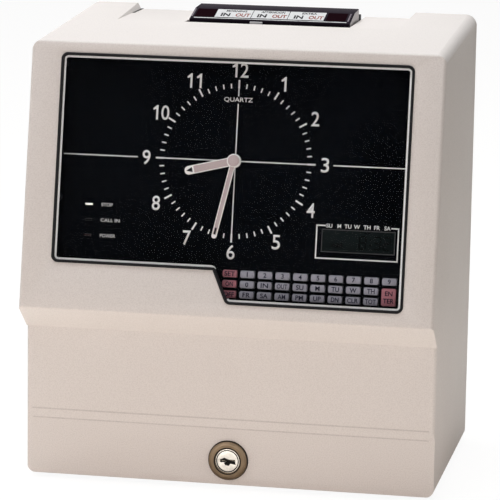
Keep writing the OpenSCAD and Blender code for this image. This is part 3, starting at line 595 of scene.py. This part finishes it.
def hour_number(hour, place):
    figures = str(hour)
    pieces = []
    for k, figure in enumerate(figures):
        spot = place @ Matrix.Translation(((k - (len(figures) - 1) / 2) * 0.66 * NUMBER_H * MM, 0, 0))
        if figure == "1":
            points = [(x * NUMBER_H, y * NUMBER_H) for x, y in FIGURE_ONE]
            pieces.append(flat_shape("figure", points, 0.06, spot))
        else:
            pieces.append(words(figure, NUMBER_H, spot, 0.03, 0.56 * NUMBER_H, 0.008))
    return pieces


def make_dial():
    recolour("dial_panel", PANEL)
    prints = []
    for hour in range(1, 13):
        angle = math.radians(30 * hour)
        u = NUMBER_RING_R * math.sin(angle)
        v = DIAL_V + NUMBER_RING_R * math.cos(angle)
        prints.extend(hour_number(hour, on_front(u, v, DIAL_DEPTH)))
    for minute in range(60):
        wide, reach = MINUTE_MARK if minute % 5 else HOUR_MARK
        turn = about_dial(6 * minute, DIAL_DEPTH)
        prints.append(stripe((-wide, MARK_START_R), (wide, reach), turn))
    half = 0.32
    lines = (
        ((-101.6, -half), (-57.6, half)),
        ((-46.4, -half), (46.6, half)),
        ((57.2, -half), (101.4, half)),
        ((-half, -46.6), (half, 33.0)),
        ((-half, 37.4), (half, 46.6)),
    )
    for low, high in lines:
        prints.append(stripe(low, high, on_front(0, DIAL_V, DIAL_DEPTH)))
    quartz_place = on_front(0, DIAL_V + 35.2, DIAL_DEPTH)
    prints.append(words("QUARTZ", 3.0, quartz_place, width=16.8, bold=0.01))
    prints.extend(display_frame())
    for row, (text, wide) in enumerate(LAMP_WORDS):
        place = on_front(LAMP_WORDS_U + wide / 2, LAMP_V - LAMP_STEP * row, DIAL_DEPTH)
        prints.append(words(text, 1.9, place, width=wide))
    dress(join(prints, "dial_print"), WHITE_PRINT, "case", "panel")


def display_frame():
    left, right, low, high = 49.1, 97.0, 36.6, 56.1
    line = 0.75
    # The upper line stops on both sides of the days
    days_left, days_right = 54.6, 92.4
    lines = (
        ((left, low), (right, low + line)),
        ((left, low), (left + line, high)),
        ((right - line, low), (right, high)),
        ((left, high - line), (days_left, high)),
        ((days_right, high - line), (right, high)),
    )
    pieces = [stripe(start, end, on_front(0, 0, DIAL_DEPTH)) for start, end in lines]
    places = (56.6, 62.4, 67.4, 72.6, 78.4, 84.2, 90.2)
    for u, day in zip(places, ("SU", "M", "TU", "W", "TH", "FR", "SA")):
        pieces.append(words(day, 2.3, on_front(u, high - 0.4, DIAL_DEPTH), bold=0.015))
    return pieces


DISPLAY_DEPTH = 12.36
DISPLAY_FILM = 0.02
DIGIT_V = 43.2
DIGIT_H = 7.2
# Each bar of a digit: its middle as shares of the digit's width and height, and whether it is upright
BARS = {
    "a": (0.5, 1.0, False),
    "b": (1.0, 0.75, True),
    "c": (1.0, 0.25, True),
    "d": (0.5, 0.0, False),
    "e": (0.0, 0.25, True),
    "f": (0.0, 0.75, True),
    "g": (0.5, 0.5, False),
}


def segment_digit(shape, u):
    wide = DIGIT_H * 0.5
    slant = DIGIT_H * 0.06
    half_thin = 0.42
    half_long = DIGIT_H * 0.21
    pieces = []
    for key in shape:
        x, y, upright = BARS[key]
        half_u, half_v = (half_thin, half_long) if upright else (half_long, half_thin)
        place = on_front(u + x * wide + y * slant, DIGIT_V + y * DIGIT_H, DISPLAY_DEPTH)
        pieces.append(stripe((-half_u, -half_v), (half_u, half_v), place, DISPLAY_FILM))
    return pieces


def make_display():
    recolour("lcd_module", DARK_PLASTIC)
    face = block("display_face", (52.8, 41.1, -12.5), (94.4, 53.3, -DISPLAY_DEPTH), 0.05)
    settle(face, FRONT)
    dress(face, DISPLAY, "case", "display")
    glass = on_front(0, 0, DISPLAY_DEPTH)
    pieces = []
    for shape, u in (("abcdefg", 74.2), ("abcdg", 82.6), ("abdeg", 88.2)):
        pieces.extend(segment_digit(shape, u))
    for v in (45.0, 48.2):
        pieces.append(stripe((80.2, v), (81.2, v + 1.0), glass, DISPLAY_FILM))
    pieces.append(words("AM", 3.0, on_front(61.2, 44.8, DISPLAY_DEPTH), DISPLAY_FILM, 7.0, 0.02))
    pieces.append(stripe((77.0, 51.8), (80.2, 52.7), glass, DISPLAY_FILM))
    dress(join(pieces, "display_segments"), DISPLAY_INK, "case", "display")


def make_lamps():
    lamps = (("lamp_stop", LAMP_ON), ("lamp_call", LAMP_OFF), ("lamp_power", LAMP_RED))
    for row, (name, finish) in enumerate(lamps):
        v = LAMP_V - LAMP_STEP * row
        lamp = block(name, (-87.1, v - 0.5, -18), (-82.9, v + 0.5, -11.2), 0.2)
        settle(lamp, FRONT)
        dress(lamp, finish, "case", "lamp", "indicator_lamps")


# Each hand: angle, reach of its tip, half widths at root and tip, depth behind the front
HANDS = (
    ("minute_hand", 192, 46.0, 1.6, 1.5, 6.8),
    ("hour_hand", 256, 29.6, 2.5, 2.5, 8.4),
)


def make_hands():
    edge = 0.5
    for node, angle, tip, root_half, tip_half, depth in HANDS:
        dressed_copy(node, node + "_blade", HAND_EDGE, node, "hand", 0.16, 2, 40)
        turn = about_dial(angle, depth)
        minute = node == "minute_hand"
        top = tip - 2.2 if minute else tip - 5.6
        wide, narrow = root_half - edge, tip_half - edge
        fill_points = [(-wide, 2.5), (-narrow, top), (narrow, top), (wide, 2.5)]
        fill = flat_shape(node + "_fill", rounded(fill_points, 0.4), 0.06, turn)
        dress(fill, HAND, node, "hand")
        if minute:
            mark_points = [(-0.55, tip - 6.4), (-0.55, tip - 2.4), (0.55, tip - 2.4), (0.55, tip - 6.4)]
            mark = rounded(mark_points, 0.5)
        else:
            mark = rounded([(-1.5, tip - 4.6), (0, tip - 0.9), (1.5, tip - 4.6)], 0.2)
        inlay = flat_shape(node + "_inlay", mark, 0.12, turn)
        dress(inlay, HAND_INLAY, node, "hand")
    cap = turned("hand_cap", 3.3, 0.7, on_front(0, DIAL_V, 6.2), 0.2)
    dress(cap, HAND, "minute_hand", "hand")


# The keypad

LEGENDS = (
    ("SET", "1", "2", "3", "4", "5", "6", "7", "8", "9"),
    ("ON", "0", "IN", "OUT", "SU", "M", "TU", "W", "TH"),
    ("OFF", "FR", "SA", "AM", "PM", "UP", "DN", "CLR", "TOT"),
)
LEGEND_H = 2.7
# Widths of a legend of one, two and three letters, where one letter keeps its own
LEGEND_WIDTHS = (None, 4.4, 6.2)
KEY_FACE = 9.61
# Middle of the first key on the front, and the steps to the next column and row
KEY_U = 0.6
KEY_V = 25.4
KEY_STEP_U = 10.28
KEY_STEP_V = 5.9


def make_key(node, text, u, v):
    key = node_copy(node, node + "_cap", 0.45, 3, 40)
    pink = text in ("SET", "ON", "OFF", "ENTER")
    key.data.materials.clear()
    key.data.materials.append(PINK_KEY if pink else GREY_KEY)
    lines = (("EN", v + 2.1), ("TER", v - 2.1)) if text == "ENTER" else ((text, v),)
    pieces = [key]
    for line, line_v in lines:
        wide = LEGEND_WIDTHS[len(line) - 1]
        legend = words(line, LEGEND_H, on_front(u, line_v, KEY_FACE), width=wide, bold=0.02)
        legend.data.materials.append(KEY_INK)
        pieces.append(legend)
    piece = join(pieces, node + "_cap")
    carry(piece, node, "pink_key" if pink else "grey_key", node)


def make_keypad():
    recolour("keypad_board", BOARD)
    for row, texts in enumerate(LEGENDS):
        for col, text in enumerate(texts):
            node = f"key_r{row + 1}_c{col + 1:02d}"
            make_key(node, text, KEY_U + KEY_STEP_U * col, KEY_V - KEY_STEP_V * row)
    make_key("key_tall", "ENTER", KEY_U + 9 * KEY_STEP_U, KEY_V - 1.5 * KEY_STEP_V)


# The lock

def make_lock():
    dressed_copy("lock_housing", "lock_bezel", BRASS, "cover", "lock_brass", 0.35, 3)
    dressed_copy("lock_plug", "lock_barrel", PLUG, "lock", "plug_metal", 0.3, 3)
    plug_proud = 2.0
    place = along_y(0, LOCK_FACE_Y - plug_proud, LOCK_Z)
    tilt = place @ Matrix.Rotation(math.radians(-10), 4, "Z")
    warded = [
        (-4.4, -0.1), (-2.2, 1.6), (0.4, 1.0), (4.4, 0.6), (5.2, -1.0), (2.0, -1.1), (1.2, -2.6),
        (-1.0, -2.6), (-1.8, -1.5), (0.2, -0.5), (-2.2, 0.0),
    ]
    # The keyway is a flat black shape: painted shade standing in for the depth of the slot
    keyway = flat_shape("lock_keyway_shade", rounded(warded, 0.1, 3), 0.24, tilt)
    dress(keyway, SHADOW_LINE, "lock", "plug_metal")
    # Each dark ring, painted shade in the plug's groove, in the seat between bezel and plug and at the
    # bezel's foot: outer and inner radius, thickness, how far out it lies, rounding
    rings = (
        ("lock_groove_shade", 6.7, 6.1, 0.12, 0.0, 0.01, "lock", "plug_metal"),
        ("lock_seat_shadow", 8.1, 7.45, 0.1, 0.55, 0.02, "cover", "lock_brass"),
        ("lock_foot_shadow", 11.9, 11.2, 0.12, -plug_proud, 0.02, "cover", "lock_brass"),
    )
    for name, outer, inner, thick, out, round_by, body, slot in rings:
        line = ring(name, outer, inner, thick, place @ Matrix.Translation((0, 0, out * MM)), round_by)
        dress(line, SHADOW_LINE, body, slot)


# The card hood and its label

LABEL_LOW = 3.6
LABEL_HIGH = 16.6
LABEL_FILM = 0.06


def label_strips(lefts, wide, film=LABEL_FILM):
    return [stripe((left, LABEL_LOW), (left + wide, LABEL_HIGH), on_label(0, 0), film) for left in lefts]


def make_hood():
    hood = dressed_copy("card_hood", "hood_shell", HOOD, "case", "hood", 0.7, 3)
    # The hood's two end faces get the light grey: a painted highlight on the smoked plastic's ends
    hood.data.materials.append(HOOD_END_HIGHLIGHT)
    for face in hood.data.polygons:
        face.material_index = int(abs(face.normal.x) > 0.95)
    paper = label_strips((-34.3, -12.0, 10.3), 21.9)
    # The thin white strip below the label, along the hood's front lip, is a painted highlight; the wider
    # strips are the label's paper
    paper.append(stripe((-46.5, 1.3), (46.5, 2.3), on_label(0, 0), LABEL_FILM))
    dress(join(paper, "label_paper_and_lip_highlight"), PAPER, "case", "hood")
    dress(join(label_strips((-46.6, 33.5), 11.9), "label_blocks"), LABEL_DARK, "case", "hood")
    dress(join(label_strips((-48.6, 46.6), 0.9, 0.05), "label_ends"), LABEL_GREY, "case", "hood")
    black = []
    red = []
    for middle, title in ((-22.4, "MORNING"), (-0.1, "AFTERNOON"), (22.2, "EXTRA")):
        wide = min(14.5, len(title) * 1.8)
        black.append(words(title, 3.0, on_label(middle, 14.2, LABEL_FILM), 0.03, wide, 0.03))
        black.append(words("IN", 5.4, on_label(middle - 5.8, 8.0, LABEL_FILM), 0.03, 5.6, 0.035))
        red.append(words("OUT", 5.4, on_label(middle + 4.8, 8.0, LABEL_FILM), 0.03, 8.8, 0.03))
    dress(join(black, "label_black_words"), LABEL_BLACK, "case", "hood")
    dress(join(red, "label_red_words"), LABEL_RED, "case", "hood")
    dressed_copy("column_pointer", "pointer_tab", POINTER, "carriage", "pointer", 0.3)


# The works inside

def make_sheet_metal():
    dressed_copy("chassis", "chassis_sheet", SHEET, "case", "sheet", 0.25)
    dressed_copy("back_plate", "back_sheet", BACK, "case", "sheet", 0.3)
    dressed_copy("rubber_feet", "rubber_pads", RUBBER, "case", "foot_rubber", 0.7, 3)
    dressed_copy("hinge_pins", "hinge_rods", STEEL, "case", "steel", 0.3)
    dressed_copy("lock_nut", "lock_hexagon", STEEL, "cover", "steel", 0.3)
    dressed_copy("lock_cam", "lock_latch", STEEL, "lock", "steel", 0.25)
    dressed_copy("clock_movement", "movement_box", DARK_PLASTIC, "case", "dark_plastic", 0.8)


def make_screws():
    screws = dressed_copy("fixing_screws", "screw_heads", STEEL, "case", "steel", 0.3)
    screws.data.materials.append(TRIM)
    panel_back = span("dial_panel")[1][1]
    for face in screws.data.polygons:
        face.material_index = int(face.center.y / MM < panel_back)
    # Black crosses on the board's screw heads: painted shade in their cross recesses
    crosses = []
    low, high = span("main_board")
    inset = 5
    head_height = 1.78
    half_long, half_wide = 1.7, 0.3
    for x in (low[0] + inset, high[0] - inset):
        for y in (low[1] + inset, high[1] - inset):
            place = along_z(x, y, high[2] + head_height)
            crosses.append(stripe((-half_long, -half_wide), (half_long, half_wide), place))
            crosses.append(stripe((-half_wide, -half_long), (half_wide, half_long), place))
    dress(join(crosses, "screw_cross_shade"), SHADOW_LINE, "case", "steel")


LEG_PITCH = 2.54


def chip(x, y, z, long, wide):
    low, high = (x - long / 2, y - wide / 2, z + 0.5), (x + long / 2, y + wide / 2, z + 3.6)
    body = block("chip", low, high, 0.25)
    body.data.materials.append(CHIP)
    legs = []
    count = int(long // LEG_PITCH)
    for k in range(count):
        leg_x = x + (k - (count - 1) / 2) * LEG_PITCH
        for side in (-1, 1):
            edge_y = y + side * wide / 2
            low, high = (leg_x - 0.3, edge_y - 0.6, z), (leg_x + 0.3, edge_y + 0.6, z + 1.8)
            leg = block("leg", low, high, 0.12, 1)
            leg.data.materials.append(SOLDER)
            legs.append(leg)
    return [body] + legs


def make_main_board():
    dressed_copy("main_board", "board_sheet", BOARD, "case", "board", 0.15)
    top = span("main_board")[1][2]
    chips = []
    chip_places = ((30, 10, 36, 13), (30, 36, 20, 7), (58, 36, 20, 7), (76, 8, 24, 7), (4, 52, 20, 7))
    for x, y, long, wide in chip_places:
        chips.extend(chip(x, y, top, long, wide))
    carry(join(chips, "board_chips"), "case", "board")
    cans = []
    can_places = ((88, 56, 2, 9), (74, 56, 2, 9), (60, 56, 1.4, 7), (-4, 8, 1.4, 7), (-4, -2, 1.4, 7))
    for x, y, radius, long in can_places:
        can = turned("can", radius, long, along_x(x, y, top + radius), 0.4)
        can.data.materials.append(CAPACITOR)
        cans.append(can)
    carry(join(cans, "board_capacitors"), "case", "board")
    sockets = []
    for x, y, long, wide in ((60, -20, 40, 5), (12, -20, 26, 5), (92, 26, 5, 22)):
        left, right, near, far = x - long / 2, x + long / 2, y - wide / 2, y + wide / 2
        socket = block("socket", (left, near, top), (right, far, top + 4), 0.4)
        # A thin black sheet on each socket's top: painted shade in its opening
        low, high = (left + 1, near + 1, top + 3.9), (right - 1, far - 1, top + 4.1)
        pocket_shade = block("pocket_shade", low, high, 0.05, 1)
        socket.data.materials.append(SOCKET)
        pocket_shade.data.materials.append(CHIP)
        sockets.extend([socket, pocket_shade])
    carry(join(sockets, "board_sockets"), "case", "board")
    resistors = []
    for k in range(9):
        place = along_y(48 + 4.2 * k, 22, top + 1.0)
        resistor = turned("resistor", 0.95, 6.2, place, 0.4, 20)
        resistor.data.materials.append(COIL)
        resistors.append(resistor)
    carry(join(resistors, "board_resistors"), "case", "board")


def make_transformer():
    low, high = span("transformer")
    x, y, z = middle_of("transformer")
    stack = block("core_stack", (low[0], y - 12.5, low[2]), (high[0], y + 12.5, high[2]), 0.6)
    dress(stack, CORE, "case", "core", "transformer")
    coil_low, coil_high = (x - 17.6, low[1] + 1, z - 15), (x + 17.6, high[1] - 1, z + 15)
    winding = block("core_winding", coil_low, coil_high, 4.5, 4)
    dress(winding, COIL, "case", "core")
    cheeks = []
    for level in (z - 17, z + 15.4):
        cheeks.append(block("cheek", (x - 19, low[1], level), (x + 19, high[1], level + 1.6), 0.4))
    dress(join(cheeks, "core_bobbin"), CHIP, "case", "core")
    straps = []
    for side in (-1, 1):
        middle = x + side * 28.5
        strap_low, strap_high = (middle - 2.5, y - 12.9, low[2]), (middle + 2.5, y + 12.9, low[2] + 3)
        straps.append(block("strap", strap_low, strap_high, 0.3))
    dress(join(straps, "core_straps"), SHEET, "case", "core")


def make_motor(node, radius, plain_end):
    x, y, z = middle_of(node)
    dressed_copy(node, node + "_can", MOTOR, "case", "motor", 1.1, 3)
    rim = ring(node + "_rim", radius * 0.62, radius * 0.45, 0.4, along_x(plain_end - 0.2, y, z), 0.1)
    dress(rim, CHIP, "case", "motor")
    band = ring(node + "_band", radius + 0.12, radius - 0.6, 3.0, along_x(x - 1.5, y, z), 0.1)
    dress(band, DARK_PLASTIC, "case", "motor")


def make_lead_screw():
    low, high = span("lead_screw")
    y, z = middle_of("lead_screw")[1:]
    radius = (high[1] - low[1]) / 2
    lead = 10.0
    ridges = 4
    pitch = lead / ridges
    root = radius - 0.75
    profile = []
    for k in range(ridges):
        start = k * pitch
        profile += [(start, root), (start + 0.3 * pitch, root)]
        profile += [(start + 0.5 * pitch, radius), (start + 0.8 * pitch, radius)]
    profile.append((lead, root))
    mesh = bpy.data.meshes.new("lead_thread")
    edges = [(i, i + 1) for i in range(len(profile) - 1)]
    mesh.from_pydata([(a * MM, 0, b * MM) for a, b in profile], edges, [])
    thread = add_object("lead_thread", mesh)
    plain_end = 12
    turns = int((high[0] - low[0] - 2 * plain_end) // lead)
    twist = thread.modifiers.new("turns", "SCREW")
    twist.axis = "X"
    twist.angle = 2 * math.pi
    twist.screw_offset = lead * MM
    twist.iterations = turns
    twist.steps = 32
    twist.render_steps = 32
    bpy.ops.object.modifier_apply(modifier=twist.name)
    edit_all()
    bpy.ops.mesh.remove_doubles(threshold=0.01 * MM)
    bpy.ops.mesh.select_all(action="SELECT")
    bpy.ops.mesh.fill_holes(sides=0)
    face_outward()
    first = low[0] + plain_end
    settle(thread, Matrix.Translation((first * MM, y * MM, z * MM)))
    smooth(thread)
    last = first + turns * lead
    ends = [thread]
    for start, stop in ((low[0], first + lead), (last, high[0])):
        place = along_x((start + stop) / 2, y, z)
        ends.append(turned("lead_end", radius - 0.02, stop - start, place, 0.3))
    dress(join(ends, "lead_thread"), LEAD_BRASS, "lead_screw", "lead_brass", "lead_screw")


def make_feed_roller():
    low, high = span("feed_roller")
    x, y, z = middle_of("feed_roller")
    shaft = turned("feed_shaft", 3.0, high[0] - low[0], along_x(x, y, z), 0.3)
    dress(shaft, STEEL, "feed_roller", "steel", "feed_roller")
    tyre_wide = 16
    for side, name in ((-1, "feed_tyre_left"), (1, "feed_tyre_right")):
        middle = HOOD_X + side * 30
        tyre = turned(name, 13.6, tyre_wide, along_x(middle, y, z), 1.0, 64)
        dress(tyre, RUBBER, "feed_roller", "roller_rubber", "feed_roller")
        hubs = []
        for face in (-1, 1):
            hubs.append(turned("hub", 8.5, 0.8, along_x(middle + face * tyre_wide / 2, y, z), 0.25))
        dress(join(hubs, name + "_hub"), DARK_PLASTIC, "feed_roller", "roller_rubber")


def make_printer():
    dressed_copy("card_chute", "chute_walls", DARK_PLASTIC, "case", "dark_plastic", 0.4)
    dressed_copy("print_carriage", "carriage_block", DARK_PLASTIC, "carriage", "dark_plastic", 0.6)
    dressed_copy("ribbon_cassette", "cassette_case", TRIM, "case", "black_trim", 0.35)
    low, high = span("ribbon_cassette")
    knobs = []
    for side in (-1, 1):
        place = along_z(HOOD_X + side * 32, low[1] + 14, high[2])
        knobs.append(ring("knob", 7.5, 3.2, 0.9, place, 0.3))
        for spoke in range(3):
            arm = block("arm", (-3.6, -0.5, 0.1), (3.6, 0.5, 0.7), 0.15, 1)
            settle(arm, place @ Matrix.Rotation(math.radians(60 * spoke), 4, "Z"))
            knobs.append(arm)
    dress(join(knobs, "cassette_knobs"), SOCKET, "case", "black_trim")
    dressed_copy("guide_rods", "rod_pair", STEEL, "case", "steel", 0.4)


def make_works():
    make_sheet_metal()
    make_screws()
    make_main_board()
    make_transformer()
    make_motor("shift_motor", 13, span("shift_motor")[1][0])
    make_motor("feed_motor", 17, span("feed_motor")[0][0])
    make_lead_screw()
    make_feed_roller()
    make_printer()


# Stage, light and camera

# How white the floor is to the camera, how bright that white is, and the light from all around
FLOOR_WHITE = 0.88
WHITE_STRENGTH = 1.06
WORLD_FILL = 0.085


def make_stage():
    deselect()
    bpy.ops.mesh.primitive_plane_add(size=12)
    floor = bpy.context.object
    floor.name = "floor"
    finish, nodes, links, shader = start_finish("pale floor")
    shader.inputs["Base Color"].default_value = (0.95, 0.91, 0.86, 1)
    shader.inputs["Roughness"].default_value = 0.9
    surface = white_to_camera(nodes, links, shader.outputs["BSDF"], FLOOR_WHITE, "Is Transmission Ray")
    links.new(surface, nodes["Material Output"].inputs["Surface"])
    floor.data.materials.append(finish)
    world = bpy.data.worlds.new("studio")
    bpy.context.scene.world = world
    world.use_nodes = True
    tree = world.node_tree
    fill = tree.nodes["Background"]
    fill.inputs["Color"].default_value = (1.0, 0.985, 0.97, 1)
    fill.inputs["Strength"].default_value = WORLD_FILL
    links = tree.links
    rays = ("Is Glossy Ray", "Is Transmission Ray")
    surface = white_to_camera(tree.nodes, links, fill.outputs["Background"], 1.0, *rays)
    links.new(surface, tree.nodes["World Output"].inputs["Surface"])


def white_to_camera(nodes, links, surface, share, *more_rays):
    path = nodes.new("ShaderNodeLightPath")
    seen = path.outputs["Is Camera Ray"]
    for ray in more_rays:
        either = nodes.new("ShaderNodeMath")
        either.operation = "MAXIMUM"
        links.new(seen, either.inputs[0])
        links.new(path.outputs[ray], either.inputs[1])
        seen = either.outputs["Value"]
    scale = nodes.new("ShaderNodeMath")
    scale.operation = "MULTIPLY"
    scale.inputs[1].default_value = share
    links.new(seen, scale.inputs[0])
    white = nodes.new("ShaderNodeEmission")
    white.inputs["Color"].default_value = (1, 1, 1, 1)
    white.inputs["Strength"].default_value = WHITE_STRENGTH
    mix = nodes.new("ShaderNodeMixShader")
    links.new(scale.outputs["Value"], mix.inputs["Fac"])
    links.new(surface, mix.inputs[1])
    links.new(white.outputs["Emission"], mix.inputs[2])
    return mix.outputs["Shader"]


def area_light(name, place, aim, size, power, colour=(1, 1, 1)):
    deselect()
    bpy.ops.object.light_add(type="AREA", location=place)
    light = bpy.context.object
    light.name = name
    light.data.size = size
    light.data.energy = power
    light.data.color = colour
    light.rotation_euler = (Vector(aim) - Vector(place)).to_track_quat("-Z", "Y").to_euler()


def make_lights():
    area_light("key light", (-0.9, -1.7, 1.3), (0, 0, 0.15), 1.0, 5.2, (1.0, 0.93, 1.0))
    area_light("top light", (-0.35, 0.0, 2.0), (0, 0, 0.2), 1.3, 38, (0.96, 1.0, 1.03))
    area_light("low front fill", (-0.4, -1.5, 0.12), (0, 0, 0.1), 1.0, 2.5, (1.0, 0.885, 0.81))
    area_light("floor wash", (-0.1, -0.55, 0.12), (-0.1, -0.55, 0.0), 0.7, 1.15, (1.0, 0.90, 0.84))
    area_light("side floor wash", (0.42, -0.05, 0.12), (0.42, -0.05, 0.0), 0.35, 0.2, (1.0, 0.92, 0.90))


# The camera's turn to the right, rise and roll in degrees, what it aims at and its distance in metres
CAMERA_ANGLES = (10.93, 10.5, 0.87)
CAMERA_AIM = (0, -26 * MM, 143 * MM)
CAMERA_AWAY = 1.7559


def make_camera():
    turn, rise, roll = (math.radians(a) for a in CAMERA_ANGLES)
    back = Vector((math.sin(turn) * math.cos(rise), -math.cos(turn) * math.cos(rise), math.sin(rise)))
    right = Vector((math.cos(turn), math.sin(turn), 0))
    up = back.cross(right)
    view_right = right * math.cos(roll) + up * math.sin(roll)
    view_up = up * math.cos(roll) - right * math.sin(roll)
    place = Vector(CAMERA_AIM) + back * CAMERA_AWAY
    deselect()
    bpy.ops.object.camera_add()
    camera = bpy.context.object
    facing = Matrix((view_right, view_up, back)).transposed().to_4x4()
    camera.matrix_world = Matrix.Translation(place) @ facing
    camera.data.sensor_width = 36
    camera.data.lens = 214.96
    camera.data.shift_x = 0.0114
    camera.data.shift_y = -0.026
    bpy.context.scene.camera = camera
    bpy.context.scene.view_settings.view_transform = "Standard"


make_camera()
make_stage()
make_lights()
make_cover()
make_window_line()
make_dial()
make_display()
make_lamps()
make_hands()
make_keypad()
make_lock()
make_hood()
make_works()

bpy.context.view_layer.update()
